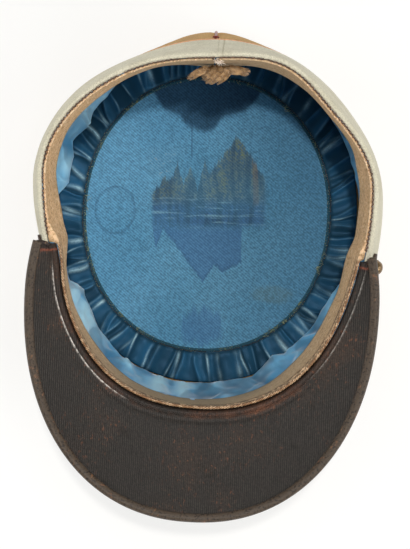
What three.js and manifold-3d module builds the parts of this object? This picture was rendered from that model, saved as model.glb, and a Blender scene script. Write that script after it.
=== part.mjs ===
// Kepi cap lying upside down on its crown, with its opening up, built piece by piece.
// Millimetres, +Z up. The crown's outer face lies on z = 0 with its centre at the origin.
// The peak points towards -Y, and left and right mean -X and +X.
// A direction round the cap is an angle from +X, so the back is at 90 and the front at 270 degrees.
import * as THREE from "three";
import { mergeVertices } from "three/addons/utils/BufferGeometryUtils.js";
import Module from "manifold-3d";

const wasm = await Module();
wasm.setup();

// The crown's outline, as reaches of the outer cloth from the origin
const crownHalfWidth = 91.5;
const crownFront = 102;
const crownBack = 106;
const crownWidestAt = 4;
const crownFrontFullness = 2.1;
const crownBackFullness = 2;

// The rim round the head opening, as reaches of the outer cloth
const rimHalfWidth = 93;
const rimFront = 115;
const rimBack = 86;
const rimWidestAt = 16;
const rimFrontFullness = 2.2;
const rimBackFullness = 1.95;

// The wall between them, which is lower at the front and bellies out half way up
const frontHeight = 75;
const backHeight = 105;
const sideBelly = 5.2;
const frontBelly = 2;
const backBelly = 5;
const dentDepth = 5;

// Cloth, leather and the gap between pieces that touch
const gap = 0.3;
const crownThickness = 2.5;
const turbanThickness = 2.2;
const bandThickness = 3;
const liningThickness = 1;
const sweatbandThickness = 1.2;

// Band, the seam above it and its piping
const bandHeight = 38;
const rimRounding = 0.9;
const pipingRadius = 0.9;
const pipingInset = 0.4;
const backPipingRadius = 1;
const crownEdgeRounding = 1.6;
const turbanLift = 0.5;

// Sweatband, which leans in from the rim
const sweatbandHeight = 30;
const sweatbandLeanDepth = 5;
const sweatbandTopDrop = 0.2;
const sweatbandSlit = 0.4;
const sweatbandNotch = 3;
const sweatbandNotchAngle = 2.2;

// Crown lining and the gathered ring round it
const liningPanelHalfWidth = 72;
const liningPanelHalfLength = 80;
const liningPanelFullness = 2.1;
const gatherCount = 60;
const gatherHeight = 2.4;
const gatherHem = 4;
const ringEdgeGap = 1.2;
const foldDepth = 2.2;

// Peak, from the flange between band and sweatband to its bound edge
const peakThickness = 2.4;
const flangeThickness = 1.4;
const flangeHeight = 8;
const hornAngle = 24;
const peakSideReach = 2.4;
const peakFrontReach = 54.4;
const peakWidestAt = -50;
const peakFullness = 2.2;
const peakHornReach = 62;
const peakHornTurn = 17.3;
const peakSlope = 22;
const ridgeInset = 1;
const ridgeRise = 0.3;
const bindingThickness = 0.8;
const bindingWidth = 3.5;
const weltRadius = 0.8;

// Chin strap and its side buttons
const strapWidth = 10;
const strapThickness = 1.5;
const strapDrop = 11;
const strapTipAngle = 18;
const buttonAngle = 23.6;
const buttonRadius = 4.5;
const buttonDome = 4.4;
const buttonRim = 1;
const shankRadius = 1;
const shankClearance = 0.4;

// Tuft of loose fibres at the back of the sweatband
const tuftHalfWidth = 10;
const tuftDepth = 2.4;
const tuftHeight = 7;
const tuftDrop = 21;
const lockLength = 10;
const lockRadius = 1.7;

const stations = 60;
const peakStations = 40;
const strapStations = 24;
const roundSides = 6;
const lockSides = 5;
const degrees = Math.PI / 180;
const back = 90 * degrees;
const front = 270 * degrees;
const peakStart = (180 + hornAngle) * degrees;
const peakEnd = (360 - hornAngle) * degrees;

// Dents and bulges of the worn wall: where, how wide in degrees, and how far out the wall moves
// at the crown, at the belly and at the rim, as shares of dentDepth
const dents = [
  { at: 0, spread: 22, crown: 0, belly: 0.15, rim: 0.15 },
  { at: 30, spread: 22, crown: 0, belly: -0.5, rim: -0.8 },
  { at: 60, spread: 22, crown: -0.8, belly: -0.4, rim: 0.95 },
  { at: 90, spread: 22, crown: 0.3, belly: -0.2, rim: -0.2 },
  { at: 120, spread: 22, crown: -1.1, belly: -0.9, rim: 0.1 },
  { at: 180, spread: 22, crown: 0, belly: 0.2, rim: 0.2 },
  { at: 210, spread: 22, crown: 0, belly: -0.8, rim: -0.4 },
  { at: 240, spread: 22, crown: 0, belly: 0.05, rim: 0.35 },
  { at: 270, spread: 22, crown: 0, belly: 0, rim: -0.2 },
  { at: 300, spread: 22, crown: 0, belly: -0.1, rim: 0.5 },
  { at: 330, spread: 22, crown: 0, belly: 0.25, rim: 0.05 },
];

// Where the peak's root and the sweatband are pushed further in than the band, as shares of dentDepth
const kinks = [{ at: 207, spread: 9, push: 0.5 }];

// How far the sweatband leans in over its height in each direction, as shares of sweatbandLeanDepth
const sweatbandLeans = [
  { at: 0, share: 0.9 },
  { at: 30, share: -0.15 },
  { at: 60, share: 0.2 },
  { at: 90, share: 0.1 },
  { at: 120, share: -0.15 },
  { at: 150, share: 0.2 },
  { at: 178, share: 0.85 },
  { at: 195, share: 1.3 },
  { at: 212, share: 0.15 },
  { at: 240, share: 0.7 },
  { at: 270, share: 0.55 },
  { at: 300, share: 1.2 },
  { at: 330, share: 1 },
];

// Slack folds of the side lining: depth as a share of foldDepth, and where up the wall each is deepest
const liningFolds = [
  { at: 22, spread: 4, push: 0.7, up: 0.3 },
  { at: 150, spread: 6, push: 0.8, up: 0.35 },
  { at: 172, spread: 4, push: 1, up: 0.3 },
  { at: 186, spread: 5, push: 0.6, up: 0.45 },
  { at: 212, spread: 5, push: 1, up: 0.35 },
  { at: 232, spread: 6, push: 0.8, up: 0.3 },
  { at: 258, spread: 5, push: 0.5, up: 0.4 },
  { at: 305, spread: 6, push: 0.9, up: 0.3 },
  { at: 325, spread: 5, push: 0.7, up: 0.4 },
];
const foldReachUp = 0.3;

// Locks of the tuft: start along its head, sideways and upward swing and length, as shares of the tuft's sizes
const locks = [
  { from: -0.95, sideways: -0.75, upward: 0.1, length: 0.8 },
  { from: -0.75, sideways: -0.5, upward: 0.25, length: 0.75 },
  { from: -0.5, sideways: -0.3, upward: -0.05, length: 0.85 },
  { from: -0.25, sideways: -0.15, upward: 0.25, length: 1 },
  { from: 0, sideways: 0.05, upward: 0.05, length: 1.05 },
  { from: 0.25, sideways: 0.1, upward: 0.3, length: 0.95 },
  { from: 0.5, sideways: 0.3, upward: 0, length: 0.7 },
  { from: 0.75, sideways: 0.55, upward: 0.2, length: 0.65 },
  { from: 0.95, sideways: 0.8, upward: 0.05, length: 0.75 },
];

const lerp = THREE.MathUtils.lerp;
const smooth = THREE.MathUtils.smoothstep;

// Distance from the middle of an oval's widest line to its edge in one direction
function ovalReach(oval, around) {
  const along = Math.sin(around);
  const length = along < 0 ? oval.front + oval.widestAt : oval.back - oval.widestAt;
  const fullness = along < 0 ? oval.frontFullness : oval.backFullness;
  const across = (Math.abs(Math.cos(around)) / oval.halfWidth) ** fullness;
  return (across + (Math.abs(along) / length) ** fullness) ** (-1 / fullness);
}

// The smaller angle between two directions, in degrees
function apart(around, degreesAt) {
  return Math.abs(((around / degrees - degreesAt + 540) % 360) - 180);
}

function bump(around, row) {
  return Math.exp(-((apart(around, row.at) / row.spread) ** 2));
}

// The wall's outline at a share of the way up, and the dent in it in one direction
function wallOval(up) {
  const belly = Math.sin(Math.PI * THREE.MathUtils.clamp(up, 0, 1));
  return {
    halfWidth: lerp(crownHalfWidth, rimHalfWidth, up) + sideBelly * belly,
    front: lerp(crownFront, rimFront, up) + frontBelly * belly,
    back: lerp(crownBack, rimBack, up) + backBelly * belly,
    widestAt: lerp(crownWidestAt, rimWidestAt, up),
    frontFullness: lerp(crownFrontFullness, rimFrontFullness, up),
    backFullness: lerp(crownBackFullness, rimBackFullness, up),
  };
}

function dentAt(around, up) {
  return dents.reduce((sum, row) => {
    const crownPart = row.crown * (1 - up) * (1 - 2 * up);
    const bellyPart = row.belly * 4 * up * (1 - up);
    const rimPart = row.rim * up * (2 * up - 1);
    return sum + dentDepth * bump(around, row) * (crownPart + bellyPart + rimPart);
  }, 0);
}

function kinkAt(around) {
  return kinks.reduce((sum, row) => sum + dentDepth * row.push * bump(around, row), 0);
}

function outline(around, up) {
  const oval = wallOval(up);
  const reach = ovalReach(oval, around) + dentAt(around, up);
  return new THREE.Vector2(reach * Math.cos(around), oval.widestAt + reach * Math.sin(around));
}

// Outward normal of a plan outline, from two points close together
function planNormal(point, around) {
  const step = 0.5 * degrees;
  const tangent = point(around + step).sub(point(around - step)).normalize();
  return new THREE.Vector2(tangent.y, -tangent.x);
}

function insetPoint(point, around, inset) {
  return point(around).addScaledVector(planNormal(point, around), -inset);
}

// The plane that the rim lies in
function rimPlane(y) {
  return lerp(frontHeight, backHeight, (y + rimFront) / (rimFront + rimBack));
}

function rimHeight(around) {
  return rimPlane(outline(around, 1).y);
}

// A point of the wall at height z, inset from its outer face
function wallPoint(around, z, inset) {
  const up = z / rimHeight(around);
  const plan = insetPoint((a) => outline(a, up), around, inset);
  return new THREE.Vector3(plan.x, plan.y, z);
}

// A point inset from the rim's outline, at a height above the rim's plane
function rimPoint(around, inset, rise) {
  const plan = insetPoint((a) => outline(a, 1), around, inset);
  return new THREE.Vector3(plan.x, plan.y, rimPlane(plan.y) + rise);
}

function wallNormal(around, z) {
  const step = 1 * degrees;
  const round = wallPoint(around + step, z, 0).sub(wallPoint(around - step, z, 0));
  const rise = wallPoint(around, z + 1, 0).sub(wallPoint(around, z - 1, 0));
  return round.cross(rise).normalize();
}

// A closed solid through a row of closed sections, which joins up on itself or is capped at its ends
function sectionSolid(sections, joinsUp, flatSection) {
  const size = sections[0].length;
  const triangles = [];
  const spans = joinsUp ? sections.length : sections.length - 1;
  for (let i = 0; i < spans; i++) {
    const here = sections[i];
    const next = sections[(i + 1) % sections.length];
    for (let j = 0; j < size; j++) {
      const k = (j + 1) % size;
      triangles.push([here[j], next[j], next[k]], [here[j], next[k], here[k]]);
    }
  }
  if (!joinsUp) {
    const [first, last] = [sections[0], sections[sections.length - 1]];
    for (const [a, b, c] of endTriangles(flatSection)) {
      triangles.push([first[a], first[b], first[c]], [last[c], last[b], last[a]]);
    }
  }
  return closedGeometry(triangles);
}

// Triangles of an end's flat picture, turned the way its outline runs
function endTriangles(flatSection) {
  const wanted = Math.sign(THREE.ShapeUtils.area(flatSection));
  return THREE.ShapeUtils.triangulateShape(flatSection.slice(), []).map((corners) => {
    const turn = Math.sign(THREE.ShapeUtils.area(corners.map((i) => flatSection[i])));
    return turn === wanted ? corners : corners.reverse();
  });
}

// Merges shared corners, drops triangles that have no area and turns the faces outwards
function closedGeometry(triangles) {
  const positions = triangles.flat().flatMap((p) => [p.x, p.y, p.z]);
  const loose = new THREE.BufferGeometry();
  loose.setAttribute("position", new THREE.Float32BufferAttribute(positions, 3));
  const merged = mergeVertices(loose, 1e-4);
  const corners = merged.index.array;
  const kept = [];
  for (let i = 0; i < corners.length; i += 3) {
    const [a, b, c] = [corners[i], corners[i + 1], corners[i + 2]];
    if (a !== b && b !== c && c !== a) kept.push(a, b, c);
  }
  if (signedVolume(merged.attributes.position, kept) < 0) kept.reverse();
  merged.setIndex(kept);
  merged.computeVertexNormals();
  return merged;
}

function signedVolume(position, corners) {
  const [a, b, c] = [new THREE.Vector3(), new THREE.Vector3(), new THREE.Vector3()];
  let volume = 0;
  for (let i = 0; i < corners.length; i += 3) {
    a.fromBufferAttribute(position, corners[i]);
    b.fromBufferAttribute(position, corners[i + 1]);
    c.fromBufferAttribute(position, corners[i + 2]);
    volume += a.dot(b.cross(c)) / 6;
  }
  return volume;
}

function toManifold(geometry) {
  const bare = new THREE.BufferGeometry();
  bare.setAttribute("position", geometry.getAttribute("position"));
  if (geometry.index) bare.setIndex(geometry.index);
  const merged = mergeVertices(bare, 1e-4);
  const vertProperties = new Float32Array(merged.attributes.position.array);
  const triVerts = new Uint32Array(merged.index.array);
  return new wasm.Manifold(new wasm.Mesh({ numProp: 3, vertProperties, triVerts }));
}

function fromManifold(solid) {
  const mesh = solid.getMesh();
  const geometry = new THREE.BufferGeometry();
  geometry.setAttribute("position", new THREE.Float32BufferAttribute(mesh.vertProperties, 3));
  geometry.setIndex(new THREE.Uint32BufferAttribute(mesh.triVerts, 1));
  geometry.computeVertexNormals();
  return geometry;
}

// A section for every direction round the cap
function roundTheCap(count, section) {
  return Array.from({ length: count }, (_, i) => section((2 * Math.PI * i) / count));
}

function between(start, end, count, section) {
  return Array.from({ length: count + 1 }, (_, i) => section(lerp(start, end, i / count), i / count));
}

function circle(radius, sides) {
  return Array.from({ length: sides }, (_, i) => {
    const turn = (2 * Math.PI * i) / sides;
    return new THREE.Vector2(radius * Math.cos(turn), radius * Math.sin(turn));
  });
}

function meshOf(name, geometry, material) {
  const mesh = new THREE.Mesh(geometry, material);
  mesh.name = name;
  return mesh;
}

// Heights of the seam between turban and band, and the levels that the wall's pieces share
function seamHeight(around) {
  return rimHeight(around) - bandHeight;
}

const turbanSteps = [0.06, 0.25, 0.5, 0.76];
const bandSteps = [0, 0.32, 0.64, 0.94];

function turbanLevels(around) {
  return turbanSteps.map((share) => share * seamHeight(around));
}

function bandLevels(around) {
  return bandSteps.map((share) => seamHeight(around) + share * bandHeight);
}

// Crown: a flat oval of thick cloth that lies inside the turban's lower edge
function crownGeometry() {
  const inset = turbanThickness + gap;
  const edge = crownThickness / 4;
  return sectionSolid(
    roundTheCap(stations, (around) => [
      new THREE.Vector3(0, 0, 0),
      wallPoint(around, 0, inset + edge).setZ(0),
      wallPoint(around, 0, inset).setZ(edge),
      wallPoint(around, 0, inset).setZ(crownThickness - edge),
      wallPoint(around, 0, inset + edge).setZ(crownThickness),
      new THREE.Vector3(0, 0, crownThickness),
    ]),
    true,
  );
}

// Turban: the upper wall of the cap, rounded where it meets the crown
function turbanGeometry() {
  const seamGap = pipingRadius + gap;
  return sectionSolid(
    roundTheCap(stations, (around) => {
      const levels = turbanLevels(around).concat(seamHeight(around) - seamGap);
      const outer = levels.map((z) => wallPoint(around, z, 0));
      const inner = levels.map((z) => wallPoint(around, z, turbanThickness));
      const foot = wallPoint(around, turbanLift, crownEdgeRounding / 2);
      const heel = wallPoint(around, turbanLift, turbanThickness);
      return [foot, ...outer, ...inner.reverse(), heel];
    }),
    true,
  );
}

// Band: the lower wall, whose cloth turns over at the rim
function bandGeometry() {
  const seamGap = pipingRadius + gap;
  return sectionSolid(
    roundTheCap(stations, (around) => {
      const levels = bandLevels(around);
      levels[0] += seamGap;
      const outer = levels.map((z) => wallPoint(around, z, 0));
      const inner = levels.map((z) => wallPoint(around, z, bandThickness));
      const rim = [
        rimPoint(around, rimRounding * 0.4, -rimRounding * 0.5),
        rimPoint(around, bandThickness / 2, 0),
        rimPoint(around, bandThickness - rimRounding * 0.4, -rimRounding * 0.5),
      ];
      return [...outer, ...rim, ...inner.reverse()];
    }),
    true,
  );
}

// A round cord along points of the wall, as sections across it
function cordSection(centre, outward, upward, radius, sides) {
  return circle(radius, sides).map((p) =>
    centre.clone().addScaledVector(outward, p.x).addScaledVector(upward, p.y),
  );
}

const up = new THREE.Vector3(0, 0, 1);

function outwardOf(around, height) {
  const normal = planNormal((a) => outline(a, height), around);
  return new THREE.Vector3(normal.x, normal.y, 0);
}

// Piping in the seam between turban and band
function bandPipingGeometry() {
  return sectionSolid(
    roundTheCap(stations, (around) => {
      const z = seamHeight(around);
      const centre = wallPoint(around, z, pipingInset);
      return cordSection(centre, outwardOf(around, z / rimHeight(around)), up, pipingRadius, roundSides);
    }),
    true,
  );
}

// Piping down the turban's back seam
function backPipingGeometry() {
  const top = seamHeight(back) - 2 * (pipingRadius + gap);
  const bottom = turbanLift + backPipingRadius;
  const sideways = new THREE.Vector3(1, 0, 0);
  return sectionSolid(
    between(bottom, top, 8, (z) => {
      const outward = wallNormal(back, z);
      const centre = wallPoint(back, z, 0).addScaledVector(outward, gap + backPipingRadius);
      return cordSection(centre, outward, sideways, backPipingRadius, roundSides);
    }),
    false,
    circle(backPipingRadius, roundSides),
  );
}

// How far the peak's flange pushes the sweatband in, from nothing outside the horns
function flangePush(around) {
  const fromFront = apart(around, 270);
  const pastHorn = (peakEnd - front) / degrees - fromFront;
  return (flangeThickness + 2 * gap + kinkAt(around)) * smooth(pastHorn, -9, -1);
}

// A table's share in one direction, eased from one row to the next round the cap
function shareBetween(rows, around) {
  const wrap = (turn) => THREE.MathUtils.euclideanModulo(turn, 360);
  const at = wrap(around / degrees);
  const after = rows.findIndex((row) => row.at > at);
  const next = rows[Math.max(after, 0)];
  const last = rows[(after < 0 ? rows.length : after) - 1];
  const part = smooth(wrap(at - last.at) / wrap(next.at - last.at), 0, 1);
  return lerp(last.share, next.share, part);
}

function sweatbandLean(around) {
  return sweatbandLeanDepth * shareBetween(sweatbandLeans, around);
}

// Inset of the sweatband's outer face from the rim, at a share of the way down it
function sweatbandInset(around, down) {
  return bandThickness + gap + flangePush(around) + sweatbandLean(around) * down;
}

function sweatbandPoint(around, down, extraInset) {
  const inset = sweatbandInset(around, down) + extraInset;
  return rimPoint(around, inset, -sweatbandTopDrop - down * sweatbandHeight);
}

// Directions from one end of the sweatband to the other, with the ends close together at the back
function sweatbandDirections() {
  const even = Array.from({ length: stations - 1 }, (_, i) => ((i + 1) * 360) / stations);
  const nearStart = [sweatbandSlit, sweatbandNotchAngle];
  const nearEnd = [360 - sweatbandNotchAngle, 360 - sweatbandSlit];
  return [...nearStart, ...even, ...nearEnd].map((turn) => back + turn * degrees);
}

// Sweatband: a leather strip inside the rim, with a notch where its ends meet
function sweatbandGeometry() {
  const sections = sweatbandDirections().map((around) => {
    const share = 1 - smooth(apart(around, 90), sweatbandSlit, sweatbandNotchAngle);
    const top = (share * sweatbandNotch) / sweatbandHeight;
    const steps = [top, 0.5, 1];
    const outer = steps.map((down) => sweatbandPoint(around, down, 0));
    const inner = steps.map((down) => sweatbandPoint(around, down, sweatbandThickness));
    return [...outer, ...inner.reverse()];
  });
  return sectionSolid(sections, false, flatPicture(sections[0]));
}

// Push of the side lining's slack folds into the cap
function foldPush(around, height) {
  return liningFolds.reduce((sum, row) => {
    const level = Math.exp(-(((height - row.up) / foldReachUp) ** 2));
    return sum + foldDepth * row.push * level * bump(around, row);
  }, 0);
}

const liningInset = bandThickness + gap;
const liningTopShare = 0.55;

// Side lining: a thin satin wall from the gathered ring up behind the sweatband
function sideLiningGeometry() {
  return sectionSolid(
    roundTheCap(stations, (around) => {
      const foot = crownThickness + gap;
      const top = rimHeight(around) - sweatbandHeight * liningTopShare;
      const levels = [foot, ...turbanLevels(around).slice(1), top];
      const points = (inset) =>
        levels.map((z) => wallPoint(around, z, inset + foldPush(around, z / rimHeight(around))));
      return [...points(liningInset), ...points(liningInset + liningThickness).reverse()];
    }),
    true,
  );
}

function panelPoint(around, outset, z) {
  const oval = {
    halfWidth: liningPanelHalfWidth + outset,
    front: liningPanelHalfLength + outset,
    back: liningPanelHalfLength + outset,
    widestAt: 0,
    frontFullness: liningPanelFullness,
    backFullness: liningPanelFullness,
  };
  const reach = ovalReach(oval, around);
  return new THREE.Vector3(reach * Math.cos(around), reach * Math.sin(around), z);
}

const panelFloor = crownThickness + gap;

// Crown lining: a flat oval of twill on the crown
function crownLiningGeometry() {
  return sectionSolid(
    roundTheCap(stations, (around) => [
      new THREE.Vector3(0, 0, panelFloor),
      panelPoint(around, 0, panelFloor),
      panelPoint(around, 0, panelFloor + liningThickness),
      new THREE.Vector3(0, 0, panelFloor + liningThickness),
    ]),
    true,
  );
}

// Gathered ring: satin drawn up in sharp pleats from the crown lining's edge to the foot of the wall
function gatheredRingGeometry() {
  const hemFloor = panelFloor + liningThickness + gap;
  const outerInset = liningInset + liningThickness + ringEdgeGap;
  const steps = [
    { out: 0, height: 0 },
    { out: 0.2, height: 0.55 },
    { out: 0.62, height: 1 },
    { out: 1, height: 0.8 },
  ];
  const sections = Array.from({ length: gatherCount * 2 }, (_, i) => {
    const around = (Math.PI * i) / gatherCount;
    const inner = panelPoint(around, -gatherHem, 0);
    const outer = wallPoint(around, 0, outerInset + foldPush(around, 0));
    const rise = i % 2 === 0 ? gatherHeight : 0;
    const points = (lift) =>
      steps.map((step) => {
        const z = hemFloor + rise * step.height + lift;
        return inner.clone().lerp(outer, step.out).setZ(z);
      });
    return [...points(0), ...points(liningThickness).reverse()];
  });
  return sectionSolid(sections, true);
}

// The peak's outer edge, matched to a direction along its root
function peakEdge(around) {
  const share = (around - front) / (peakEnd - front);
  const turn = front + share * (90 + peakHornTurn) * degrees;
  const oval = {
    halfWidth: rimHalfWidth + peakSideReach,
    front: rimFront + peakFrontReach,
    back: peakHornReach,
    widestAt: peakWidestAt,
    frontFullness: peakFullness,
    backFullness: 2,
  };
  const reach = ovalReach(oval, turn);
  return new THREE.Vector3(reach * Math.cos(turn), peakWidestAt + reach * Math.sin(turn), 0);
}

const ridgeHeight = gap + peakThickness + ridgeRise;

function peakRidge(around) {
  return rimPoint(around, ridgeInset + kinkAt(around), ridgeHeight);
}

// A point of the peak's edge, on the slope that runs out from the ridge
function peakEdgeTop(around) {
  const ridge = peakRidge(around);
  const edge = peakEdge(around);
  const run = Math.hypot(edge.x - ridge.x, edge.y - ridge.y);
  return edge.setZ(rimPlane(edge.y) + ridgeHeight + run * Math.tan(peakSlope * degrees));
}

// The directions at the peak's edge: along it, out of the blade and up from it
function bladeFrame(around) {
  const step = 0.2 * degrees;
  const top = peakEdgeTop(around);
  const along = peakEdgeTop(around + step).sub(peakEdgeTop(around - step)).normalize();
  const inward = peakRidge(around).sub(top);
  const normal = along.clone().cross(inward).normalize();
  if (normal.z < 0) normal.negate();
  const outward = normal.clone().cross(along).normalize();
  if (outward.dot(inward) > 0) outward.negate();
  return { top, normal, outward };
}

const flangeOuterInset = bandThickness + 2 * gap;
const flangeInnerInset = flangeOuterInset + flangeThickness;

function peakSection(around) {
  const { top, normal } = bladeFrame(around);
  const kink = kinkAt(around);
  const ridge = peakRidge(around);
  const halfWay = ridge.clone().lerp(top, 0.5);
  const lower = (p) => p.clone().addScaledVector(normal, -peakThickness);
  const low = rimHeight(around) - flangeHeight;
  const bend = (share, rise) => {
    const inset = lerp(flangeInnerInset, ridgeInset, share) + kink;
    return rimPoint(around, inset, rise * ridgeHeight);
  };
  return [
    wallPoint(around, low, flangeInnerInset + kink),
    rimPoint(around, flangeInnerInset + kink, gap),
    bend(0.2, 0.7),
    bend(0.55, 0.95),
    ridge,
    halfWay,
    top,
    lower(top),
    lower(halfWay),
    rimPoint(around, ridgeInset, gap),
    rimPoint(around, flangeOuterInset + kink, gap),
    wallPoint(around, low, flangeOuterInset + kink),
  ];
}

// A section's own flat picture, used to triangulate its end
function flatPicture(section) {
  const origin = section[0];
  const out = section[Math.floor(section.length / 2)].clone().sub(origin).setZ(0).normalize();
  return section.map((p) => {
    const offset = p.clone().sub(origin);
    return new THREE.Vector2(offset.dot(out), offset.z);
  });
}

// Peak: flange, bend and blade in one moulded piece of leather
function peakGeometry() {
  const sections = between(peakStart, peakEnd, peakStations, peakSection);
  return sectionSolid(sections, false, flatPicture(sections[0]));
}

// Peak binding: a thin strip folded over the blade's edge
function peakBindingGeometry() {
  const inner = peakThickness / 2 + gap;
  const outer = inner + bindingThickness;
  const lip = -bindingWidth;
  const profile = [
    new THREE.Vector2(lip, inner),
    new THREE.Vector2(gap, inner),
    new THREE.Vector2(gap, -inner),
    new THREE.Vector2(lip, -inner),
    new THREE.Vector2(lip, -outer),
    new THREE.Vector2(gap + bindingThickness * 0.6, -outer),
    new THREE.Vector2(gap + bindingThickness, 0),
    new THREE.Vector2(gap + bindingThickness * 0.6, outer),
    new THREE.Vector2(lip, outer),
  ];
  const sections = between(peakStart, peakEnd, peakStations, (around) => {
    const { top, normal, outward } = bladeFrame(around);
    const centre = top.addScaledVector(normal, -peakThickness / 2);
    return profile.map((p) =>
      centre.clone().addScaledVector(outward, p.x).addScaledVector(normal, p.y),
    );
  });
  return sectionSolid(sections, false, profile);
}

// Welt: the rolled edge that covers the seam between sweatband and peak
function weltGeometry() {
  const rise = gap + weltRadius;
  return sectionSolid(
    between(peakStart, peakEnd, peakStations, (around) => {
      const inset = flangeInnerInset + kinkAt(around) + gap + weltRadius;
      const centre = rimPoint(around, inset, rise);
      return cordSection(centre, outwardOf(around, 1), up, weltRadius, roundSides);
    }),
    false,
    circle(weltRadius, roundSides),
  );
}

// Where each side button sits on the band, and the way it faces
function buttonPlace(side) {
  const around = side < 0 ? (180 + buttonAngle) * degrees : (360 - buttonAngle) * degrees;
  const z = rimHeight(around) - strapDrop;
  return { point: wallPoint(around, z, 0), outward: wallNormal(around, z) };
}

function turnedTo(geometry, place) {
  const turn = new THREE.Quaternion().setFromUnitVectors(new THREE.Vector3(0, 1, 0), place.outward);
  geometry.applyQuaternion(turn);
  geometry.translate(place.point.x, place.point.y, place.point.z);
  return geometry;
}

// Side button: a domed head on a shank that goes through the strap
function buttonGeometry(side) {
  const seat = 2 * gap + strapThickness;
  const profile = [
    new THREE.Vector2(0, gap),
    new THREE.Vector2(shankRadius, gap),
    new THREE.Vector2(shankRadius, seat),
    new THREE.Vector2(buttonRadius, seat),
    new THREE.Vector2(buttonRadius, seat + buttonRim),
    new THREE.Vector2(buttonRadius * 0.8, seat + buttonDome * 0.65),
    new THREE.Vector2(buttonRadius * 0.45, seat + buttonDome * 0.92),
    new THREE.Vector2(0, seat + buttonDome),
  ];
  const turned = new THREE.LatheGeometry(profile, 16);
  const triangles = [];
  const position = turned.getAttribute("position");
  for (let i = 0; i < turned.index.count; i += 3) {
    const corners = [0, 1, 2].map((k) =>
      new THREE.Vector3().fromBufferAttribute(position, turned.index.getX(i + k)),
    );
    triangles.push(corners);
  }
  return turnedTo(closedGeometry(triangles), buttonPlace(side));
}

// Chin strap: a leather strip round the front of the band, pierced for the button shanks
function chinStrapGeometry() {
  const start = (180 + strapTipAngle) * degrees;
  const end = (360 - strapTipAngle) * degrees;
  const sections = between(start, end, strapStations, (around) => {
    const low = rimHeight(around) - strapDrop - strapWidth / 2;
    const high = low + strapWidth;
    const middle = (low + high) / 2;
    const outer = [low, middle, high].map((z) => wallPoint(around, z, -gap - strapThickness));
    const inner = [high, middle, low].map((z) => wallPoint(around, z, -gap));
    return [...outer, ...inner];
  });
  const strap = toManifold(sectionSolid(sections, false, flatPicture(sections[0])));
  const holes = [-1, 1].map((side) => {
    const hole = new THREE.CylinderGeometry(
      shankRadius + shankClearance,
      shankRadius + shankClearance,
      6 * strapThickness,
      16,
    );
    return toManifold(turnedTo(hole, buttonPlace(side)));
  });
  return fromManifold(holes.reduce((solid, hole) => solid.subtract(hole), strap));
}

// Tuft: locks of fibre fused to a small head on the sweatband's inner face
function tuftGeometry() {
  const down = tuftDrop / sweatbandHeight;
  const reach = rimBack - rimWidestAt;
  const inset = sweatbandThickness + gap;
  const headPoint = (share, extra, rise) => {
    const around = back - Math.atan((share * tuftHalfWidth) / reach);
    return sweatbandPoint(around, down, inset + extra).setZ(rimHeight(around) - tuftDrop + rise);
  };
  const half = tuftHeight / 2;
  const headSections = between(-1, 1, 6, (share) => [
    headPoint(share, sweatbandLean(back) * 0.2, -half),
    headPoint(share, tuftDepth, -half),
    headPoint(share, tuftDepth, half),
    headPoint(share, sweatbandLean(back) * 0.2, half),
  ]);
  const head = toManifold(sectionSolid(headSections, false, flatPicture(headSections[0])));
  const fused = locks.reduce((solid, lock) => {
    const root = headPoint(lock.from * 0.9, tuftDepth * 0.4, 0);
    const length = lockLength * lock.length;
    const sections = between(0, 1, 3, (share) => {
      const centre = root.clone();
      centre.x += length * lock.sideways * share;
      centre.y -= length * 0.8 * share;
      centre.z += length * (lock.upward * share - 0.25 * share * share);
      const radius = lockRadius * (1 - 0.75 * share);
      return cordSection(centre, new THREE.Vector3(1, 0, 0), up, radius, lockSides);
    });
    return solid.add(toManifold(sectionSolid(sections, false, circle(lockRadius, lockSides))));
  }, head);
  return fromManifold(fused);
}

// Materials, with the colours of the worn cap
const cloth = (color, roughness) => new THREE.MeshStandardMaterial({ color, roughness, metalness: 0 });
const greyWool = cloth(0xc9c8b8, 0.95);
const tanWool = cloth(0xb18f56, 0.95);
const pipingCloth = cloth(0xd9a173, 0.9);
const redCloth = cloth(0x8f2f1e, 0.9);
const satin = cloth(0x5d9cc4, 0.4);
const darkSatin = cloth(0x23496b, 0.35);
const twill = cloth(0x4b7fa3, 0.8);
const tanLeather = cloth(0xb08a5c, 0.8);
const blackLeather = cloth(0x35302b, 0.6);
const wornEdge = cloth(0x4a3426, 0.65);
const fibre = cloth(0xb29468, 1);
const tarnishedBrass = new THREE.MeshStandardMaterial({ color: 0x6e5b48, roughness: 0.45, metalness: 1 });

const crown = new THREE.Group();
crown.add(meshOf("crown", crownGeometry(), tanWool));
crown.add(meshOf("turban", turbanGeometry(), tanWool));
crown.add(meshOf("back_piping", backPipingGeometry(), redCloth));

const band = new THREE.Group();
band.add(meshOf("band", bandGeometry(), greyWool));
band.add(meshOf("band_piping", bandPipingGeometry(), pipingCloth));
band.add(meshOf("sweatband", sweatbandGeometry(), tanLeather));
band.add(meshOf("back_tuft", tuftGeometry(), fibre));

const lining = new THREE.Group();
lining.add(meshOf("side_lining", sideLiningGeometry(), satin));
lining.add(meshOf("gathered_ring", gatheredRingGeometry(), darkSatin));
lining.add(meshOf("crown_lining", crownLiningGeometry(), twill));

const peak = new THREE.Group();
peak.add(meshOf("peak", peakGeometry(), blackLeather));
peak.add(meshOf("peak_binding", peakBindingGeometry(), wornEdge));
peak.add(meshOf("peak_welt", weltGeometry(), tanLeather));

const strap = new THREE.Group();
strap.add(meshOf("chin_strap", chinStrapGeometry(), wornEdge));
strap.add(meshOf("side_button_left", buttonGeometry(-1), tarnishedBrass));
strap.add(meshOf("side_button_right", buttonGeometry(1), tarnishedBrass));

const kepi = new THREE.Group();
kepi.add(crown, band, lining, peak, strap);

export default kepi;
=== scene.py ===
import math
import random
import bpy
import bmesh
import numpy as np
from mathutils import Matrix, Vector, noise


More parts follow.
